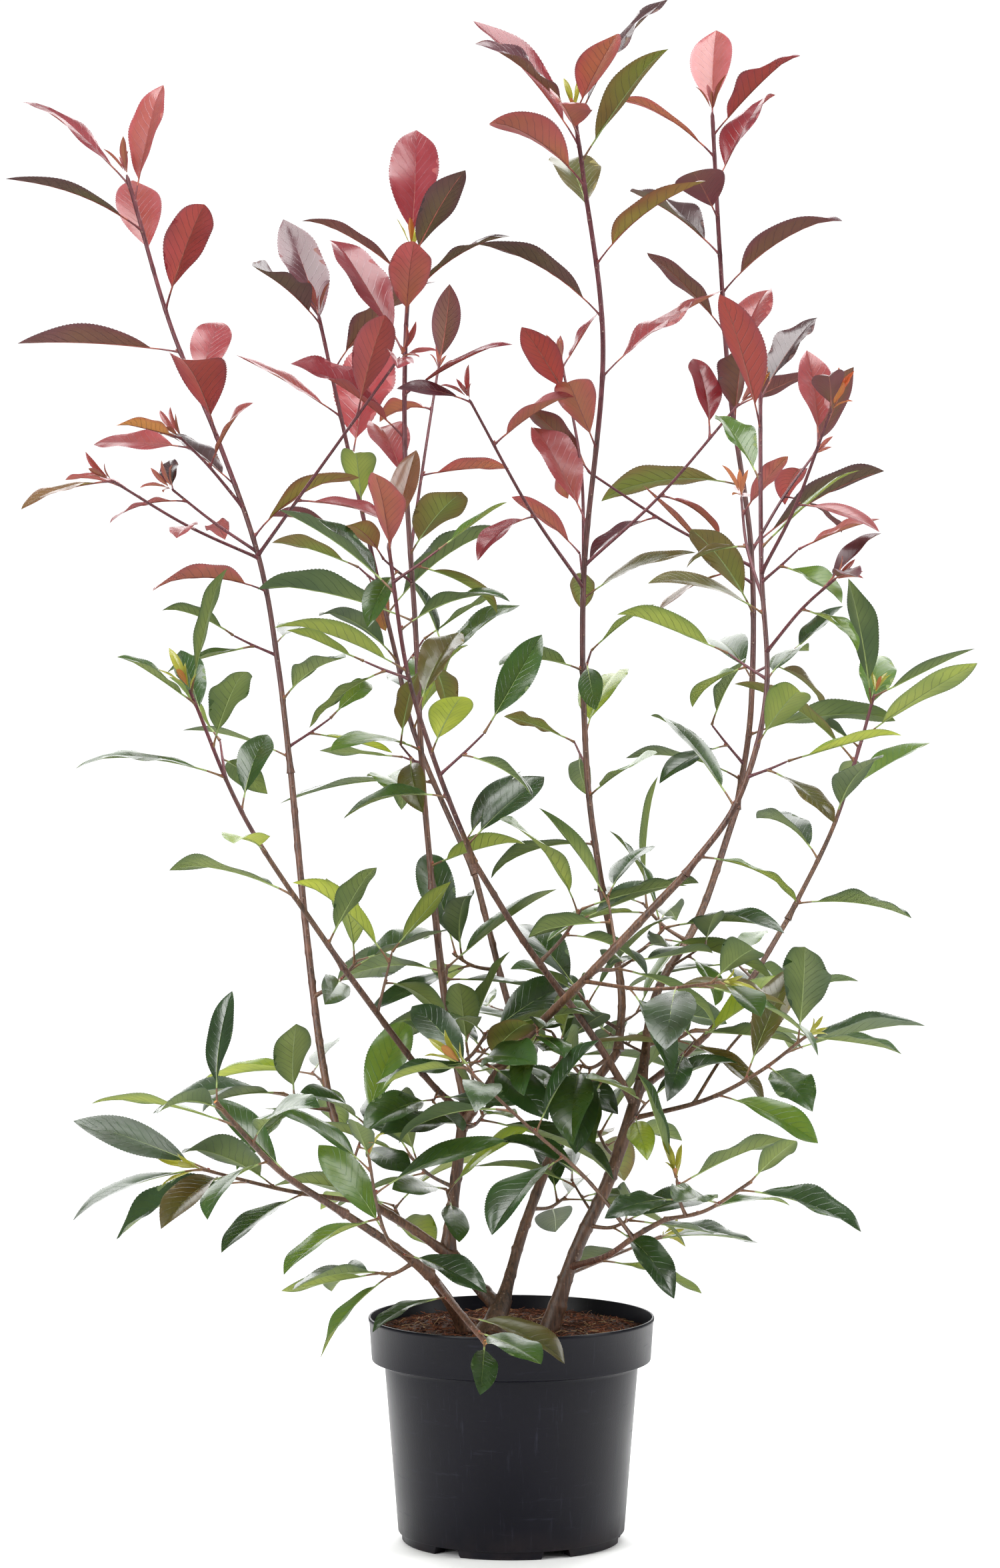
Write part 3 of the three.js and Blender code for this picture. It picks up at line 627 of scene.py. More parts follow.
# Leaf tints: upper side, a lighter stretch of it, underside, the light that shines through it and
# through its middle, and how much of it does.
leafTints = {
    "deep": ("#122710", "#29481f", "#5a6e4a", "#82954e", "#97a65c", 0.24),
    "leafy": ("#1b3714", "#345726", "#6a7e52", "#96a852", "#aab664", 0.32),
    "fresh": ("#2e5020", "#4c7430", "#80925c", "#b0bd58", "#c2ca6a", 0.4),
    "lime": ("#4c6b2a", "#6f9040", "#94a65a", "#d0d660", "#dce07a", 0.5),
    "olive": ("#3c3a20", "#5c5630", "#80764c", "#b89a50", "#98a648", 0.36),
    "bronze": ("#4e3626", "#74543c", "#8e6c50", "#cc8e5c", "#b4a850", 0.36),
    "dusk": ("#2c1a1d", "#4a2c30", "#6d5052", "#94504a", "#7a7438", 0.28),
    "wine": ("#3a1c24", "#5e363f", "#80545a", "#a8504e", "#8e6a3c", 0.32),
    "crimson": ("#5c222b", "#873e46", "#9c5c60", "#c85658", "#c2604c", 0.38),
    "rose": ("#743a40", "#9c5c60", "#b07476", "#d87c78", "#c68c5e", 0.42),
    "ember": ("#8a4630", "#b06642", "#bf835f", "#e8935f", "#e2b058", 0.4),
    "bud": ("#76782a", "#a0a040", "#aaa855", "#e4de70", "#e8e690", 0.4),
}
leafSkin = {
    "veins": 11.0, "slant": 2.4, "veinWidth": 0.09, "wander": 90.0, "marginFrom": 0.9,
    "mottle": 38.0, "cloud": 9.0, "freckles": 380.0, "freckle": "#3a2418", "net": 620.0,
    "coat": 0.5, "coatRoughness": 0.2, "upperShine": 0.5, "underShine": 0.4,
    "upperRelief": 0.0008, "underRelief": 0.0007,
}


def leafSide(name, tint, isUpper):
    f, g = leafSkin, Graph(name)
    blade = g.node("ShaderNodeUVMap", {"uv_map": "blade"})
    along, across = g.part(blade, 0), (g.part(blade, 1) * 2 - 1).maths("ABSOLUTE")
    wander = g.noise(f["wander"]) * 0.5
    vein = (along * f["veins"] - across * f["slant"] + wander).peaks(f["veinWidth"])
    vein = vein * (1 - across ** 4)
    margin = ((across - f["marginFrom"]) / (1 - f["marginFrom"])).clamped()
    mottle, cloud = g.noise(f["mottle"], 4.0), g.noise(f["cloud"], 2.0)
    freckle = ((g.noise(f["freckles"], 2.0) - 0.66) * 6).clamped()
    net = (g.cells("DISTANCE_TO_EDGE", f["net"]) * 3).clamped()
    upper, lighter, under, shine, heart = [paint(colour) for colour in tint[:5]]
    inMiddle = ((1 - across ** 2) * (cloud * 5 - 1.7)).clamped()
    through = tint[5] * (1.3 - vein * 0.6 - margin * 0.5 - mottle * 0.6)
    if isUpper:
        colour = g.mixed((mottle * 1.4 + cloud * 1.6 - 1.05).clamped(), upper, lighter)
        colour = g.mixed(vein * 0.2, colour, lighter)
        colour = g.mixed(freckle * 0.35, colour, f["freckle"])
        roughness = mottle * 0.16 + 0.2
        bump = g.bump(mottle * 0.7 - vein * 0.4 + net * 0.04, f["upperRelief"], 0.5)
        finish = {"Coat Weight": f["coat"], "Coat Roughness": f["coatRoughness"],
                  "Specular IOR Level": f["upperShine"]}
    else:
        darker = (*[0.5 * share for share in under[:3]], 1.0)
        colour = g.mixed((mottle * 1.8 - 0.55).clamped() * 0.7, under, darker)
        # Painted glow: in patches down the middle, the underside's colour is painted with the
        # colour of the light that shines through it.
        colour = g.mixed(inMiddle * 0.5, colour, heart)
        colour = g.mixed((vein * 0.6 + freckle * 0.3 + margin * 0.4).clamped(), colour, darker)
        roughness = mottle * 0.15 + 0.48
        bump = g.bump(mottle * 0.3 + vein * 0.8 + net * 0.1, f["underRelief"], 0.6)
        finish = {"Specular IOR Level": f["underShine"]}
    return g.surface({"Base Color": colour, "Roughness": roughness, "Normal": bump, **finish},
                     g.blend(inMiddle, g.glow(shine), g.glow(heart)), through)


bladeForm = {
    "stretches": 9, "strips": 4, "teeth": 4, "toothPeak": 0.7, "toothHeight": 0.038,
    "thick": 0.42, "tipPoint": 0.2, "tipPower": 14, "sharp": 34, "neck": 0.8, "unfold": 0.35,
    "twistPower": 1.5, "curlFrom": 0.72, "curlGrow": 4, "shrink": 0.98, "calm": 0.6,
}


class Pattern:
    # One small shape as numbers: a row of place values for each vertex, and its faces.
    def __init__(self, bm):
        bm.verts.index_update()
        self.spots = np.array([vertex.co[:] for vertex in bm.verts])
        self.faces = [tuple(vertex.index for vertex in face.verts) for face in bm.faces]
        self.skins = np.array([face.material_index for face in bm.faces])
        bm.free()


# A blade lies flat at first: x runs along it, y across, and z tells its upper side from its lower.
def bladePattern(stretches, teeth):
    near = 1e-5
    bm = bmesh.new()
    bmesh.ops.create_grid(bm, x_segments=stretches, y_segments=bladeForm["strips"], size=0.5)
    bmesh.ops.translate(bm, verts=bm.verts[:], vec=(0.5, 0, 0))
    bmesh.ops.scale(bm, verts=bm.verts[:], vec=(1, 2, 1))
    margin = [edge for edge in bm.edges if all(abs(v.co.y) > 1 - near for v in edge.verts)]
    bmesh.ops.subdivide_edges(bm, edges=margin, cuts=2 * teeth - 1)
    tip = [vertex for vertex in bm.verts if vertex.co.x > 1 - near]
    bmesh.ops.pointmerge(bm, verts=tip, merge_co=(1, 0, 0))
    bmesh.ops.dissolve_degenerate(bm, dist=1e-6, edges=bm.edges[:])
    for vertex in bm.verts:
        inside = abs(vertex.co.y) < 1 - near and near < vertex.co.x < 1 - near
        vertex.co.z = 1.0 if inside else 0.0
    copied = bmesh.ops.duplicate(bm, geom=bm.verts[:] + bm.edges[:] + bm.faces[:])["geom"]
    lower = [item for item in copied if isinstance(item, bmesh.types.BMFace)]
    for item in copied:
        if isinstance(item, bmesh.types.BMVert):
            item.co.z = -item.co.z
    bmesh.ops.reverse_faces(bm, faces=lower)
    for face in lower:
        face.material_index = 1
    bmesh.ops.remove_doubles(bm, verts=bm.verts[:], dist=near)
    pattern = Pattern(bm)
    x, y = pattern.spots[:, 0], pattern.spots[:, 1]
    isTooth = (np.abs(y) > 1 - near) & (np.round(x * stretches * teeth * 2) % 2 == 1)
    pattern.tooth = isTooth.astype(float)
    x[isTooth] += (2 * bladeForm["toothPeak"] - 1) / (2 * stretches * teeth)
    return pattern


# The leaf's own arc, and how it twists, leans and curls on it.
def arcAt(leaf, distance):
    size, arch = leaf["size"], leaf["arch"]
    total = size * (1 + leafForm["petioleShare"])
    turned = arch * distance / total
    share = np.clip((distance - size * leafForm["petioleShare"]) / size, 0, 1)
    side = np.cross(leaf["along"], leaf["top"])
    centre = (leaf["foot"] + np.outer(np.sin(turned) * total / arch, leaf["along"])
              - np.outer((1 - np.cos(turned)) * total / arch, leaf["top"])
              + np.outer(leaf["lean"] * size * share ** 2, side))
    normal = np.outer(np.cos(turned), leaf["top"]) + np.outer(np.sin(turned), leaf["along"])
    twist = leaf["twist"] * share ** bladeForm["twistPower"]
    across = np.outer(np.cos(twist), side) + normal * np.sin(twist)[:, None]
    upward = normal * np.cos(twist)[:, None] - np.outer(np.sin(twist), side)
    return centre, across, upward, share


def curlAt(leaf, share):
    late = np.clip(share - bladeForm["curlFrom"], 0, 1)
    return -leaf["curl"] * leaf["size"] * late ** 2 * bladeForm["curlGrow"]


def bladePoints(leaf, pattern):
    f, size = bladeForm, leaf["size"]
    u, v, layer = pattern.spots.T
    centre, across, upward, share = arcAt(leaf, size * (leafForm["petioleShare"] + u))
    pointed = 1 - f["tipPoint"] * share ** f["tipPower"]
    half = np.maximum(size * leaf["widthShare"] / 2 * outline(share) * pointed,
                      leafForm["petioleRadius"] * f["neck"] * (1 - share))
    half = half * (1 + f["toothHeight"] * pattern.tooth)
    reach = np.abs(v)
    fold = leaf["fold"] * (1 - f["unfold"] * share)
    cup = leaf["cup"] * half * reach * (1 - reach) * 4
    wave = leaf["wave"] * reach ** 2 * half * np.sin(
        leaf["waves"] * 2 * math.pi * share + leaf["phase"] + (v > 0) * leaf["offset"])
    rise = reach * half * np.sin(fold) + cup + wave + layer * f["thick"] / 2 + curlAt(leaf, share)
    return centre + across * (v * half * np.cos(fold))[:, None] + upward * rise[:, None]


shrubBox = np.array(cadBox) / millimetre


# A leaf that would pass the shrub's own reach is straightened, and made a little smaller.
def settle(leaf, pattern):
    while True:
        points = bladePoints(leaf, pattern)
        if np.all(points > shrubBox[0]) and np.all(points < shrubBox[1]):
            return points
        leaf["size"] *= bladeForm["shrink"]
        for quality in ("lean", "twist", "curl", "wave"):
            leaf[quality] *= bladeForm["calm"]


# A straight rod one unit long, cut into rings so that it can bend.
def rod(sides, taper, cuts):
    bm = bmesh.new()
    bmesh.ops.create_cone(bm, cap_ends=True, cap_tris=False, segments=sides, radius1=1,
                          radius2=taper, depth=1)
    long = [edge for edge in bm.edges if abs(edge.verts[0].co.z - edge.verts[1].co.z) > 0.5]
    bmesh.ops.subdivide_edges(bm, edges=long, cuts=cuts)
    return bm


# The petiole runs on under the blade as its midrib.
ribForm = {"sides": 6, "rings": 10, "foot": 1.5, "neck": 0.85, "tip": 0.22, "reach": 0.92,
           "swell": 0.12, "sink": 0.3, "petioleTo": 0.24, "inStem": 0.5, "crowd": 1.25,
           "thinPower": 0.6}


def ribPattern():
    bm = rod(ribForm["sides"], 1, ribForm["rings"] - 1)
    bmesh.ops.translate(bm, verts=bm.verts[:], vec=(0, 0, 0.5))
    for face in bm.faces:
        face.material_index = int(face.calc_center_median().z > ribForm["petioleTo"])
    return Pattern(bm)


def ribPoints(leaf, pattern):
    f, size = ribForm, leaf["size"]
    x, y, run = pattern.spots.T
    petiole = size * leafForm["petioleShare"]
    start = leaf["limb"].radius(leaf["place"]) * f["inStem"]
    distance = start + (petiole + size * f["reach"] - start) * run ** f["crowd"]
    centre, across, upward, share = arcAt(leaf, distance)
    nearStem = np.clip(1 - (distance - start) / (size * f["swell"]), 0, 1)
    radius = leaf["slim"] * (f["neck"] + (f["tip"] - f["neck"]) * share ** f["thinPower"]
                             + (f["foot"] - f["neck"]) * nearStem ** 2)
    sunk = np.where(distance > petiole, radius * f["sink"], 0)
    return (centre + across * (x * radius)[:, None]
            + upward * (y * radius - sunk + curlAt(leaf, share))[:, None])


def linked(name, data):
    thing = bpy.data.objects.new(name, data)
    bpy.context.scene.collection.objects.link(thing)
    return thing


def addPiece(name, mesh, nodes=()):
    piece = linked(name, mesh)
    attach(piece, "root")
    if nodes:
        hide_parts(*nodes)


# One piece from many copies of a pattern. Blades also get a map of their own, for the veins.
def addCopies(name, pattern, placed, skins, materials, nodes=(), sharp=75, uvName=None):
    count = len(pattern.spots)
    faces = [tuple(i + copy * count for i in face)
             for copy in range(len(placed)) for face in pattern.faces]
    mesh = bpy.data.meshes.new(name)
    mesh.from_pydata((np.concatenate(placed) * millimetre).tolist(), [], faces)
    for material in materials:
        mesh.materials.append(material)
    mesh.polygons.foreach_set("material_index", np.concatenate(skins).astype(np.int32))
    if uvName:
        flat = np.tile(pattern.spots[:, :2] * (1, 0.5) + (0, 0.5), (len(placed), 1))
        corners = np.empty(len(mesh.loops), np.int32)
        mesh.loops.foreach_get("vertex_index", corners)
        layer = mesh.uv_layers.new(name=uvName)
        layer.data.foreach_set("uv", flat[corners].astype(np.float32).ravel())
    mesh.shade_smooth()
    mesh.set_sharp_from_angle(angle=math.radians(sharp))
    mesh.update()
    addPiece(name, mesh, nodes)


# How each leaf differs, beyond its place: drawn in the order the leaves grew.
leafVariety = {
    "widthShare": (0.32, 0.43), "fold": (8, 36), "twist": (-26, 26), "lean": (-0.07, 0.07),
    "cup": (0.03, 0.14), "wave": (0.02, 0.16), "waves": (1.2, 2.6), "phase": (0, 6.28),
    "offset": (0.6, 2.4), "curl": (-0.05, 0.22), "slim": (0.9, 1.1),
}
ripeness = {"limeFrom": 600, "turning": 860, "red": 980, "redOnSprays": 905, "tipsFrom": 0.72,
            "broader": 1.15}
greenShoots = {"front_left_leader", "outer_leader"}
sprays = {name for mass, name, *_ in shootRows if mass != name}

# Which tints a leaf may have, and how often each: low down, higher up, and on each red leader.
tintsLow = {"deep": 9, "leafy": 7, "fresh": 3, "olive": 1, "lime": 1}
tintsHigh = {"deep": 4, "leafy": 5, "fresh": 4, "olive": 2, "lime": 1}
tintsTurning = {"fresh": 3, "leafy": 3, "olive": 3, "bronze": 2, "dusk": 2, "wine": 2, "rose": 3}
tintsRed = {
    "left_leader": {"rose": 5, "wine": 3, "crimson": 2, "dusk": 2},
    "spray_low": {"rose": 3, "bronze": 1},
    "spray_mid": {"rose": 2, "dusk": 1, "wine": 1},
    "spray_high": {"ember": 2, "rose": 2},
    "back_left_leader": {"crimson": 3, "rose": 2, "wine": 3},
    "centre_leader": {"crimson": 6, "rose": 3, "wine": 3},
    "tall_leader": {"rose": 4, "dusk": 4, "bronze": 1, "olive": 1, "wine": 3},
    "right_leader": {"dusk": 4, "wine": 5, "rose": 2},
    "sweep_leader": {"ember": 3, "wine": 2, "dusk": 2, "crimson": 1},
    "sweep_outer": {"rose": 3, "wine": 2, "dusk": 1},
}
tintsOther = {"rose": 3, "wine": 3, "crimson": 3, "dusk": 1}


def tintOf(leaf, draw):
    height, shoot = leaf["foot"][2], leaf["limb"].name
    redFrom = ripeness["redOnSprays" if shoot in sprays else "red"]
    if height > redFrom and shoot not in greenShoots:
        atTip = shoot == leaf["mass"] and leaf["share"] > ripeness["tipsFrom"]
        chances = tintsOther if atTip else tintsRed.get(shoot, tintsOther)
    elif height > ripeness["turning"] and shoot not in greenShoots:
        chances = tintsTurning
    else:
        chances = tintsHigh if height > ripeness["limeFrom"] else tintsLow
    return draw.choices(list(chances), list(chances.values()))[0]


draw = random.Random(7)
for leaf in leaves:
    for quality, (low, high) in leafVariety.items():
        leaf[quality] = draw.uniform(low, high)
    leaf["fold"] = math.radians(leaf["fold"])
    leaf["twist"] = math.radians(leaf["twist"])
    leaf["tint"] = tintOf(leaf, draw)
    if leaf["foot"][2] > ripeness["red"]:
        leaf["widthShare"] *= ripeness["broader"]

families = {
    "green": ("deep", "leafy", "fresh", "lime", "olive"),
    "red": ("bronze", "dusk", "wine", "crimson", "rose", "ember", "bud"),
}
# The petiole of each family, and its midrib.
ribTints = {
    "green": {"petioleLow": ("#583a2a", "#8a6a48"), "greenRib": ("#74874a", "#9cab68")},
    "red": {"petiole": ("#552428", "#86494c"), "redRib": ("#74342f", "#a8624f")},
}
ribMaterials = {family: [grainMaterial(name, "rib", *colours) for name, colours in tints.items()]
                for family, tints in ribTints.items()}
leafMaterials = {tint: [leafSide(f"{tint}_upper", leafTints[tint], True),
                        leafSide(f"{tint}_under", leafTints[tint], False)] for tint in leafTints}
redNodes = {row["node"] for row in frame["record"]["subparts"]
            if row["material_slot"] == "red_leaf"}
massNodes = {"red": redNodes, "green": {mass for mass, _, _ in leafyShoots} - redNodes}


def addBlades(name, pattern, members, tints, nodes=()):
    materials = [material for tint in tints for material in leafMaterials[tint]]
    skins = [pattern.skins + 2 * tints.index(leaf["tint"]) for leaf in members]
    placed = [settle(leaf, pattern) for leaf in members]
    addCopies(name, pattern, placed, skins, materials, nodes, bladeForm["sharp"], "blade")


byFamily = {family: [leaf for leaf in leaves if leaf["tint"] in tints]
            for family, tints in families.items()}
blade, rib = bladePattern(bladeForm["stretches"], bladeForm["teeth"]), ribPattern()
for family, members in byFamily.items():
    addBlades(f"leaves_{family}", blade, members, families[family],
              sorted(massNodes[family]))
for family, members in byFamily.items():
    addCopies(f"petioles_{family}", rib, [ribPoints(leaf, rib) for leaf in members],
              [rib.skins for _ in members], ribMaterials[family])
print(f"leaves: {len(blade.faces)} faces each")


# Bark tints from the oldest wood to the youngest, and the thickest wood each one covers.
barkTints = [
    ("oldest", 99, "#291a13", "#6e4d39"),
    ("old", 5.4, "#2d1d15", "#76523c"),
    ("grown", 4.2, "#301f16", "#7b563f"),
    ("younger", 3.3, "#342019", "#7c5544"),
    ("young", 2.5, "#3a2020", "#704643"),
    ("soft", 1.8, "#431c22", "#733a41"),
    ("low_twig", 0, "#352219", "#7b573e"),
]
woodAge = {"from": 700, "reach": 520, "younger": 0.45, "twigsUnder": 2.5, "lowTo": 650}


def barkMaterial(name, dark, light):
    g = Graph(f"bark_{name}")
    streaks = g.noise(520.0, 5.0, 0.7, g.stretched((1, 1, 0.12)))
    patches = g.noise(38.0, 4.0)
    lenticels = (1 - g.cells("F1", 190.0) * 5.2).clamped()
    colour = g.mixed((streaks * 2.8 + patches * 1.2 - 1.5).clamped(), dark, light)
    colour = g.mixed(lenticels * 0.6, colour, "#b59a82")
    height = streaks * 0.8 + lenticels * 0.9 + patches * 0.3
    return g.surface({"Base Color": colour, "Roughness": patches * 0.2 + 0.3 - lenticels * 0.05,
                      "Normal": g.bump(height, 0.0008, 0.7), "Specular IOR Level": 0.55})


barkMaterials = [barkMaterial(name, dark, light) for name, _, dark, light in barkTints]
barkMaterials.append(grainMaterial("cut_wood", "cut", "#a0552c", "#d29a5e"))
cutSkin = len(barkMaterials) - 1

tubeForm = {
    "spacing": 3.2, "fewestRings": 6, "boughSides": 16, "stemSides": 10, "twigSides": 8,
    "collarGrow": 0.5, "collarReach": 2.2, "nodeGrow": 0.26, "nodeReach": 2.1, "nodeAround": 0.35,
    "lump": 0.045, "lumpLength": 30, "ridge": 0.05, "ridgesRound": 4, "ridgesAlong": 1.2,
    "youngRelief": 0.35, "fullReliefAt": 5, "endShare": 0.45, "shift": 3.7,
    "scarStep": 27, "scarTurn": 31,
}
cutTips = {"front_stub", "fore_left_shoot", "low_front_shoot"}


def barkSkin(limb, share):
    height = limb.point(share)[2]
    youth = min(1, max(0, (height - woodAge["from"]) / woodAge["reach"]))
    age = limb.radius(share) * (1 - woodAge["younger"] * youth)
    if age <= woodAge["twigsUnder"] and height < woodAge["lowTo"]:
        return len(barkTints) - 1
    return max(i for i, (_, thickest, _, _) in enumerate(barkTints) if age <= thickest)


# Where a limb swells: at its leaves, and at old leaf scars at even steps along bare wood.
def knotsOf(limb):
    length, step = limb.length(), tubeForm["scarStep"]
    knots = [(leaf["place"] * length, leaf["outward"]) for leaf in leaves if leaf["limb"] is limb]
    if limb in boughLimbs:
        for i in range(1, int(length / step)):
            turn = leafForm["turnStep"] * i + len(limb.name) * tubeForm["scarTurn"]
            knots.append((i * step, headingAt(limb.tangent(i * step / length), turn)))
    return knots


# A limb starts as a flat grid, rolled up round its line: rings along it, sides round it.
def rollLimb(bm, limb, sides, isCut=False, thins=True):
    f, length, knots = tubeForm, limb.length(), knotsOf(limb)
    rings = max(f["fewestRings"], round(length / f["spacing"]))
    grid = bmesh.ops.create_grid(bm, x_segments=rings, y_segments=sides, size=0.5)["verts"]
    shift = Vector((sum(ord(letter) for letter in limb.name) * f["shift"], 0, 0))
    centres = [limb.point(i / rings) for i in range(rings + 1)]
    tangents = [up if limb.stands and i == 0 else limb.tangent(i / rings)
                for i in range(rings + 1)]
    for face in {face for vertex in grid for face in vertex.link_faces}:
        face.material_index = barkSkin(limb, face.calc_center_median().x + 0.5)
    ends = {0: [], rings: []}
    for vertex in grid:
        ring = round((vertex.co.x + 0.5) * rings)
        side = round((vertex.co.y + 0.5) * sides) % sides
        share = ring / rings
        run = share * length
        radius = limb.radius(share)
        if not limb.stands:
            radius *= 1 + f["collarGrow"] * math.exp(-run / (f["collarReach"] * radius))
        outward = headingAt(tangents[ring], 360 * side / sides)
        for knotRun, knotOut in knots:
            near = math.exp(-((run - knotRun) / f["nodeReach"]) ** 2)
            if near > 0.01:
                facing = max(0, float(outward @ knotOut)) * (1 - f["nodeAround"])
                radius *= 1 + f["nodeGrow"] * near * (f["nodeAround"] + facing)
        turn = 2 * math.pi * side / sides
        spot = Vector((math.cos(turn), math.sin(turn), run / f["lumpLength"])) + shift
        finer = Vector((spot.x * f["ridgesRound"], spot.y * f["ridgesRound"],
                        spot.z * f["ridgesAlong"]))
        relief = noise.noise(spot) * f["lump"] + noise.noise(finer) * f["ridge"]
        radius *= 1 + relief * (f["youngRelief"] + min(1, radius / f["fullReliefAt"]))
        if thins and not isCut and ring == rings:
            radius *= f["endShare"]
        vertex.co = Vector((centres[ring] + outward * radius) * millimetre)
        if ring in ends:
            ends[ring].append(vertex)
    bmesh.ops.remove_doubles(bm, verts=grid, dist=1e-7)
    for ring, skin in ((0, 0), (rings, cutSkin if isCut else barkSkin(limb, 1))):
        rim = [v for v in ends[ring] if v.is_valid]
        edges = {edge for v in rim for edge in v.link_edges
                 if len(edge.link_faces) == 1 and all(w in rim for w in edge.verts)}
        for face in bmesh.ops.edgeloop_fill(bm, edges=list(edges))["faces"]:
            face.material_index = skin


def meshFrom(bm, name, materials, sharp=50):
    bmesh.ops.recalc_face_normals(bm, faces=bm.faces[:])
    mesh = bpy.data.meshes.new(name)
    bm.to_mesh(mesh)
    bm.free()
    for material in materials:
        mesh.materials.append(material)
    mesh.shade_smooth()
    mesh.set_sharp_from_angle(angle=math.radians(sharp))
    return mesh


for limb in boughLimbs:
    bm = bmesh.new()
    rollLimb(bm, limb, tubeForm["boughSides"], thins=False)
    addPiece(f"bark_{limb.name}", meshFrom(bm, limb.name, barkMaterials), [limb.name])

bm = bmesh.new()
for mass, limb, _ in leafyShoots:
    isStem = mass == limb.name and "_spur_" not in mass
    rollLimb(bm, limb, tubeForm["stemSides" if isStem else "twigSides"], limb.name in cutTips)
for limb in sideTwigs:
    rollLimb(bm, limb, tubeForm["twigSides"])
addPiece("twigs", meshFrom(bm, "twigs", barkMaterials))
print("limbs made")


# The youngest leaves, folded round the end of each shoot.
tipForm = {"count": 5, "sizes": (15, 34), "tilt": (6, 30), "stray": (-20, 20), "arch": (5, 35),
           "fold": (20, 50), "widthShare": 0.24, "slim": 0.6, "back": 2.5, "stretches": 5,
           "teeth": 2}
paleTips = {"front_left_leader", "outer_leader", "front_riser", "centre_leader", "tall_leader",
            "low_front_tip", "front_upright"}
emberTips = {"purple_leader", "sweep_leader", "sweep_left", "sweep_outer"}


def tipLeaves(limb, draw):
    made = []
    tangent, end = limb.tangent(1), limb.point(1)
    for i in range(tipForm["count"]):
        tilt = math.radians(draw.uniform(*tipForm["tilt"]))
        outward = headingAt(tangent, leafForm["turnStep"] * i + draw.uniform(*tipForm["stray"]))
        along = unit(tangent * math.cos(tilt) + outward * math.sin(tilt))
        top = unit(tangent * math.sin(tilt) - outward * math.cos(tilt))
        leaf = {"limb": limb, "place": 1, "foot": end - tangent * tipForm["back"] * (i % 2),
                "along": along, "top": top, "size": draw.uniform(*tipForm["sizes"]),
                "arch": math.radians(draw.uniform(*tipForm["arch"]))}
        for quality, (low, high) in leafVariety.items():
            leaf[quality] = draw.uniform(low, high)
        leaf.update(widthShare=tipForm["widthShare"], twist=0, slim=tipForm["slim"],
                    fold=math.radians(draw.uniform(*tipForm["fold"])))
        if limb.name in paleTips:
            leaf["tint"] = "bud" if i else "ember"
        elif limb.name in emberTips:
            leaf["tint"] = "ember"
        else:
            leaf["tint"] = "rose" if end[2] > ripeness["turning"] else "bud"
        made.append(leaf)
    return made


draw = random.Random(23)
young = [leaf for mass, limb, _ in leafyShoots if limb.name not in cutTips
         and "_spur_" not in limb.name for leaf in tipLeaves(limb, draw)]
addBlades("tip_leaves", bladePattern(tipForm["stretches"], tipForm["teeth"]), young,
          ("rose", "ember", "bud"))

budForm = {"length": 3.4, "radius": 1.15, "lift": 34, "taper": 0.45, "outward": 0.85,
           "above": 2.2, "rooted": 0.7, "belowShare": 0.9}


def budPattern():
    bm = bmesh.new()
    bmesh.ops.create_uvsphere(bm, u_segments=6, v_segments=5, radius=1)
    for vertex in bm.verts:
        taper = 1 - budForm["taper"] * max(0, vertex.co.z)
        vertex.co.x *= taper
        vertex.co.y *= taper
    return Pattern(bm)


def budPoints(leaf, pattern):
    f, outward = budForm, leaf["outward"]
    tangent = leaf["limb"].tangent(leaf["place"])
    lift = math.radians(f["lift"])
    along = unit(tangent * math.cos(lift) + outward * math.sin(lift))
    side = unit(np.cross(along, tangent))
    radius = leaf["limb"].radius(leaf["place"])
    foot = leaf["foot"] + outward * radius * f["outward"] + tangent * f["above"]
    x, y, z = pattern.spots.T
    return (foot + np.outer(x * f["radius"], side)
            + np.outer(y * f["radius"], np.cross(along, side))
            + np.outer((z + f["rooted"]) * f["length"] / 2, along))


bud = budPattern()
budded = [leaf for leaf in leaves if leaf["share"] < budForm["belowShare"]]
addCopies("axil_buds", bud, [budPoints(leaf, bud) for leaf in budded],
          [bud.skins for _ in budded], ribMaterials["red"][1:])
print(f"tips: {len(young)} youngest leaves, {len(budded)} buds")


potForm = {
    "rimTopRadius": 130, "rimFootRadius": 127, "rimTop": 204, "rimFoot": 165,
    "neckRadius": 115.5, "neck": 163, "baseRadius": 103, "footRadius": 99.5, "foot": 8,
    "footInner": 84, "pad": 36, "floor": 11, "wall": 2.4, "steps": 144, "sharp": 40,
    "notches": 6, "firstNotch": 24, "notchBottom": 30, "notchTop": 24, "notchHeight": 7,
    "notchInner": 78, "notchOuter": 108, "drain": 6, "drainRing": 60, "drainSides": 24,
    "drainDeep": 40,
}
potSkin = {"plastic": ("#05050c", "#0a0a16"), "scuff": "#4a4c5c", "soil": "#4a3c36",
           "soilTo": 0.03, "shine": 0.16, "relief": 0.0004}


def potMaterial():
    g = Graph("pot_plastic")
    cloud, fine = g.noise(14.0, 4.0), g.noise(900.0, 2.0)
    scratch = g.noise(260.0, 4.0, 0.7, g.stretched((1, 1, 0.05)))
    scuffs = g.noise(60.0, 4.0, 0.7, g.stretched((0.3, 0.3, 3.0)))
    marks = ((scratch - 0.6).clamped() * 4 + (scuffs - 0.62).clamped() * 5).clamped()
    nearFoot = (1 - g.part(g.place, 2) / potSkin["soilTo"]).clamped()
    soil = (nearFoot * (g.noise(30.0, 5.0) * 3 - 1.2).clamped()).clamped()
    colour = g.mixed(marks * 0.2, g.mixed(cloud, *potSkin["plastic"]), potSkin["scuff"])
    colour = g.mixed(soil * 0.25, colour, potSkin["soil"])
    roughness = (cloud * 0.18 + marks * 0.2 + soil * 0.3 + 0.26).clamped()
    relief = g.bump(fine * 0.5 + scratch * 0.4 + cloud, potSkin["relief"], 0.35)
    return g.surface({"Base Color": colour, "Roughness": roughness, "Normal": relief,
                      "Specular IOR Level": potSkin["shine"]})


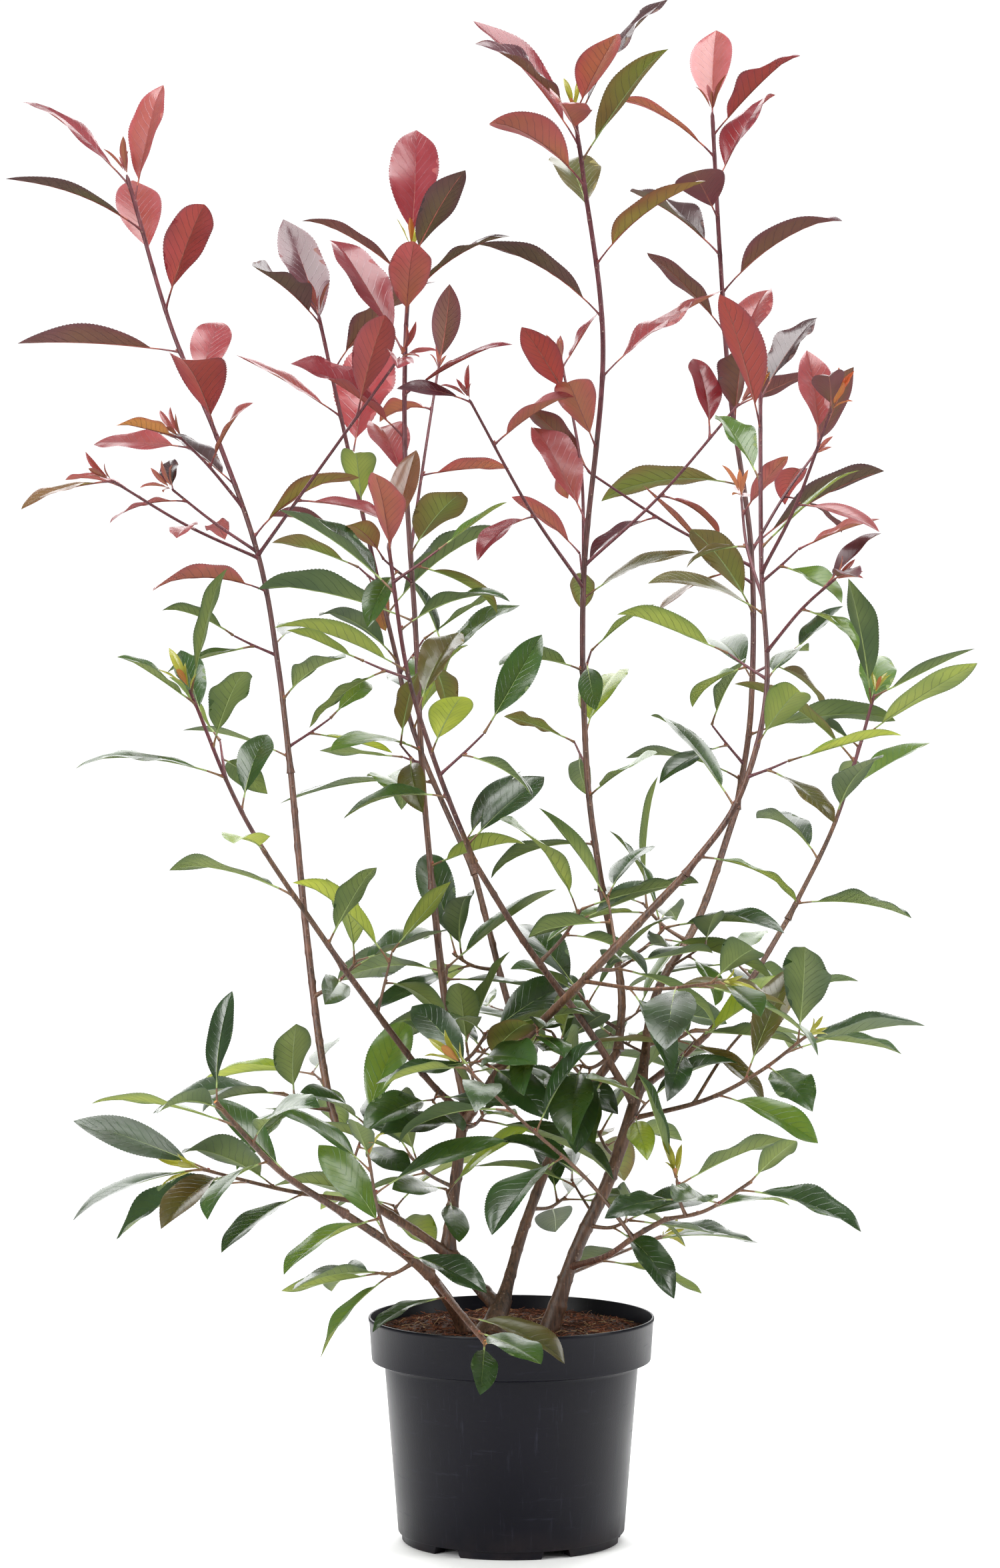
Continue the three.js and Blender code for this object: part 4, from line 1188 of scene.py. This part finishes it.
def makePot():
    f = potForm
    inner = f["rimTopRadius"] - f["wall"]
    profile = [
        (0.01, 0), (f["pad"] - 1, 0), (f["pad"], 1), (f["pad"], f["notchHeight"]),
        (f["footInner"], f["notchHeight"]), (f["footInner"], 0.8), (f["footInner"] + 0.8, 0),
        (f["footRadius"] - 1.2, 0), (f["footRadius"], 1.2), (f["footRadius"], f["foot"] - 0.6),
        (f["baseRadius"] - 0.8, f["foot"]), (f["baseRadius"], f["foot"] + 1.2),
        (f["neckRadius"] - 0.3, f["neck"] - 4), (f["neckRadius"] + 0.4, f["neck"] - 1),
        (f["neckRadius"] + 1.6, f["neck"]), (f["rimFootRadius"] - 1.6, f["rimFoot"] - 0.6),
        (f["rimFootRadius"] - 0.3, f["rimFoot"]), (f["rimFootRadius"], f["rimFoot"] + 1.4),
        (f["rimTopRadius"] - 0.9, f["rimTop"] - 4.2), (f["rimTopRadius"] - 0.2, f["rimTop"] - 3.4),
        (f["rimTopRadius"], f["rimTop"] - 1.2), (f["rimTopRadius"] - 0.5, f["rimTop"] - 0.2),
        (f["rimTopRadius"] - 1.2, f["rimTop"]), (inner + 0.4, f["rimTop"] - 0.2),
        (inner, f["rimTop"] - 0.9), (f["rimFootRadius"] - f["wall"], f["rimFoot"] + f["wall"]),
        (f["neckRadius"] - f["wall"], f["neck"]), (f["baseRadius"] - f["wall"], f["floor"] + 2),
        (f["baseRadius"] - f["wall"] - 2, f["floor"]), (0.01, f["floor"]),
    ]
    bm = bmesh.new()
    line = [bm.verts.new((radius * millimetre, 0, z * millimetre)) for radius, z in profile]
    edges = [bm.edges.new(pair) for pair in zip(line, line[1:])]
    bmesh.ops.spin(bm, geom=line + edges, cent=(0, 0, 0), axis=(0, 0, 1), angle=2 * math.pi,
                   steps=f["steps"], use_merge=True, use_duplicate=False)
    bmesh.ops.remove_doubles(bm, verts=bm.verts[:], dist=2e-5)
    return meshFrom(bm, "pot", [potMaterial()], f["sharp"])


def makePotCutters():
    f = potForm
    bm = bmesh.new()
    deep = (f["notchOuter"] - f["notchInner"]) * millimetre
    for i in range(f["notches"]):
        turn = Matrix.Rotation(math.radians(f["firstNotch"] + 360 * i / f["notches"]), 4, "Z")
        notch = bmesh.ops.create_cube(bm, size=1)["verts"]
        for vertex in notch:
            isTop = vertex.co.z > 0
            vertex.co.x *= f["notchTop" if isTop else "notchBottom"] * millimetre
            vertex.co.y = vertex.co.y * deep - (f["notchInner"] * millimetre + deep / 2)
            vertex.co.z = f["notchHeight"] * millimetre if isTop else -millimetre
        drain = f["drain"] * millimetre
        hole = bmesh.ops.create_cone(bm, cap_ends=True, segments=f["drainSides"], radius1=drain,
                                     radius2=drain, depth=f["drainDeep"] * millimetre)["verts"]
        bmesh.ops.translate(bm, verts=hole, vec=(0, -f["drainRing"] * millimetre, 0))
        bmesh.ops.transform(bm, matrix=turn, verts=notch + hole)
    return meshFrom(bm, "pot_cutters", [], f["sharp"])


cutters, blank = linked("pot_cutters", makePotCutters()), linked("pot_blank", makePot())
openings = blank.modifiers.new("openings", "BOOLEAN")
openings.operation = "DIFFERENCE"
openings.solver = "EXACT"
openings.object = cutters
depsgraph = bpy.context.evaluated_depsgraph_get()
potMesh = bpy.data.meshes.new_from_object(blank.evaluated_get(depsgraph))
potMesh.set_sharp_from_angle(angle=math.radians(potForm["sharp"]))
for spent in (cutters, blank):
    bpy.data.objects.remove(spent)
addPiece("nursery_pot", potMesh, ["pot"])
print("pot made")


compostForm = {
    "edge": 190, "middle": 195, "flat": 70, "radius": 126.1, "rings": 46, "sides": 120,
    "ringShare": 0.985, "deep": 12, "lump": 9, "lumpRise": 1.76, "clod": 3.6, "clodShare": 0.6,
    "sharp": 60, "fibres": 1500, "crumbs": 700, "ceiling": 201,
    "fibreLength": (6, 22), "fibreWidth": (0.25, 0.8), "fibreLift": (-0.15, 0.35),
    "fibreBow": (-0.35, 0.35), "fibreHump": (0.0, 0.25), "fibreFlat": 0.7, "fibreAbove": 0.8,
    "fibreMargin": 2,
    "crumbSizes": ((0.8, 3.2), (0.8, 2.6), (0.6, 1.8)), "crumbMargin": 4, "crumbAbove": 0.4,
}


def compostHeight(radius):
    f = compostForm
    share = max(0, (radius - f["flat"]) / (f["radius"] - f["flat"]))
    return f["middle"] - (f["middle"] - f["edge"]) * share


def makeCompost():
    f = compostForm
    bm = bmesh.new()
    bmesh.ops.create_circle(bm, cap_ends=True, segments=f["sides"], radius=f["radius"])
    middle = bm.faces[:]
    for _ in range(f["rings"] - 1):
        bmesh.ops.inset_region(bm, faces=middle, use_boundary=True,
                               thickness=f["radius"] / f["rings"] * f["ringShare"])
    for vertex in bm.verts:
        x, y, _ = vertex.co
        lumps = (noise.noise(Vector((x, y, 0)) / f["lump"])
                 + f["clodShare"] * noise.noise(Vector((x, y, 7)) / f["clod"]))
        vertex.co.z = compostHeight(math.hypot(x, y)) + f["lumpRise"] * lumps
    rim = [edge for edge in bm.edges if len(edge.link_faces) == 1]
    for item in bmesh.ops.extrude_edge_only(bm, edges=rim)["geom"]:
        if isinstance(item, bmesh.types.BMVert):
            item.co.z = f["edge"] - f["deep"]
    bmesh.ops.edgeloop_fill(bm, edges=[edge for edge in bm.edges if len(edge.link_faces) == 1])
    bmesh.ops.scale(bm, vec=(millimetre,) * 3, verts=bm.verts[:])
    peat = grainMaterial("compost_peat", "peat", "#1d120d", "#4a2c1f")
    return meshFrom(bm, "compost", [peat], f["sharp"])


def onCompost(draw, margin):
    radius = (compostForm["radius"] - margin) * math.sqrt(draw.random())
    turn = draw.uniform(0, 2 * math.pi)
    return np.array((radius * math.cos(turn), radius * math.sin(turn), compostHeight(radius)))


def fibrePoints(pattern, draw):
    f = compostForm
    length, width = draw.uniform(*f["fibreLength"]), draw.uniform(*f["fibreWidth"])
    spot = onCompost(draw, length / 2 + f["fibreMargin"])
    turn, lift = draw.uniform(0, math.pi), draw.uniform(*f["fibreLift"])
    along = np.array((math.cos(turn) * math.cos(lift), math.sin(turn) * math.cos(lift),
                      math.sin(lift)))
    side = unit(np.cross(along, up))
    bow, hump = draw.uniform(*f["fibreBow"]), draw.uniform(*f["fibreHump"])
    x, y, z = pattern.spots.T
    bend = (0.25 - z ** 2) * length
    points = (spot + np.outer(z * length, along) + np.outer(x * width + bow * bend, side)
              + np.outer(y * width * f["fibreFlat"] + hump * bend, np.cross(side, along)))
    points[:, 2] = np.minimum(points[:, 2] + f["fibreAbove"], f["ceiling"])
    return points


def crumbPoints(pattern, draw):
    spot = onCompost(draw, compostForm["crumbMargin"])
    size = np.array([draw.uniform(*sizes) for sizes in compostForm["crumbSizes"]])
    turn = draw.uniform(0, math.pi)
    x, y, z = (pattern.spots * size).T
    return spot + np.stack((x * math.cos(turn) - y * math.sin(turn),
                            x * math.sin(turn) + y * math.cos(turn),
                            z + compostForm["crumbAbove"]), axis=1)


addPiece("compost_top", makeCompost(), ["compost"])
fibreTints = {"fibre_dark": ("#2a1710", "#4d2c1e"), "fibre_red": ("#5a3020", "#8a5236"),
              "fibre_pale": ("#8a6a4c", "#b39470")}
fibreMaterials = [grainMaterial(name, "fibre", *colours) for name, colours in fibreTints.items()]
draw = random.Random(41)


# Copies strewn over the compost, each one's colour dealt out by the chances.
def strew(name, pattern, pointsOf, count, chances):
    placed = [pointsOf(pattern, draw) for _ in range(count)]
    skins = [np.full(len(pattern.faces), draw.choices(range(len(chances)), chances)[0])
             for _ in placed]
    addCopies(name, pattern, placed, skins, fibreMaterials)


pebble = bmesh.new()
bmesh.ops.create_icosphere(pebble, subdivisions=1, radius=1)
strew("compost_fibres", Pattern(rod(3, 0.6, 4)), fibrePoints, compostForm["fibres"], (5, 5, 1))
strew("compost_crumbs", Pattern(pebble), crumbPoints, compostForm["crumbs"], (3, 1))
print("compost made")


studio = {
    "imageHeight": 2352, "focalPixels": 7000, "sensor": 36, "camera": (-0.0103, -4.222, 0.850),
    "lookDown": 2.2, "worldLight": 0.33, "worldSeen": 0.77, "softboxAim": (0, 0, 0.7),
    "floorRadius": 2.2, "floorTints": ("#f4f4f4", "#fbfbfb"), "floorRoughness": 0.9,
    "fadeFrom": 0.35, "fadeOver": 1.2,
}
# Each softbox: its place, its width and height, its watts, and whether glossy things show it.
softboxes = {
    "back_box": ((0, 2.6, 1.2), (4.2, 2.8), 215, False),
    "rim_box": ((0, 2.6, 1.6), (3.4, 2.0), 60, True),
    "top_box": ((0.2, -0.4, 3.0), (2.2, 1.8), 108, True),
    "left_box": ((-2.5, -2.4, 1.7), (1.2, 2.2), 108, True),
    "right_box": ((2.8, -1.0, 1.3), (1.0, 2.2), 50, True),
}


# A pale floor that fades out all round.
def makeFloor():
    bm = bmesh.new()
    bmesh.ops.create_circle(bm, cap_ends=True, segments=128, radius=studio["floorRadius"])
    g = Graph("studio_floor")
    distance = g.node("ShaderNodeVectorMath", {"operation": "LENGTH"}, {0: g.place}, "Value")
    fade = ((distance - studio["fadeFrom"]) / studio["fadeOver"]).clamped()
    pale = g.node("ShaderNodeBsdfPrincipled", {}, {
        "Base Color": g.mixed(g.noise(3.0), *studio["floorTints"]),
        "Roughness": studio["floorRoughness"]}, "BSDF")
    clear = g.node("ShaderNodeBsdfTransparent", output="BSDF")
    floor = linked("studio_floor",
                   meshFrom(bm, "studio_floor", [g.finish(g.blend(fade, pale, clear))]))


def makeWorld():
    g = Graph("studio", "worlds")
    seen = g.node("ShaderNodeLightPath", output="Is Camera Ray")
    strength = seen * studio["worldSeen"] + studio["worldLight"]
    sky = g.node("ShaderNodeBackground", {}, {"Color": (1, 1, 1, 1), "Strength": strength})
    bpy.context.scene.world = g.finish(sky, "ShaderNodeOutputWorld")


def addSoftbox(name, place, size, watts, isGlossy):
    light = bpy.data.lights.new(name, "AREA")
    light.shape = "RECTANGLE"
    light.size, light.size_y = size
    light.energy = watts
    box = linked(name, light)
    box.location = place
    aim = Vector(studio["softboxAim"]) - Vector(place)
    box.rotation_euler = aim.to_track_quat("-Z", "Y").to_euler()
    box.visible_camera = False
    box.visible_glossy = isGlossy


def makeCamera():
    camera = bpy.data.cameras.new("camera")
    camera.sensor_fit = "VERTICAL"
    camera.sensor_height = studio["sensor"]
    camera.lens = studio["focalPixels"] / studio["imageHeight"] * studio["sensor"]
    holder = linked("camera", camera)
    holder.location = studio["camera"]
    holder.rotation_euler = (math.radians(90 - studio["lookDown"]), 0, 0)
    bpy.context.scene.camera = holder


bpy.context.scene.view_settings.view_transform = "Standard"
makeFloor()
makeWorld()
for name, settings in softboxes.items():
    addSoftbox(name, *settings)
makeCamera()

print("studio ready")
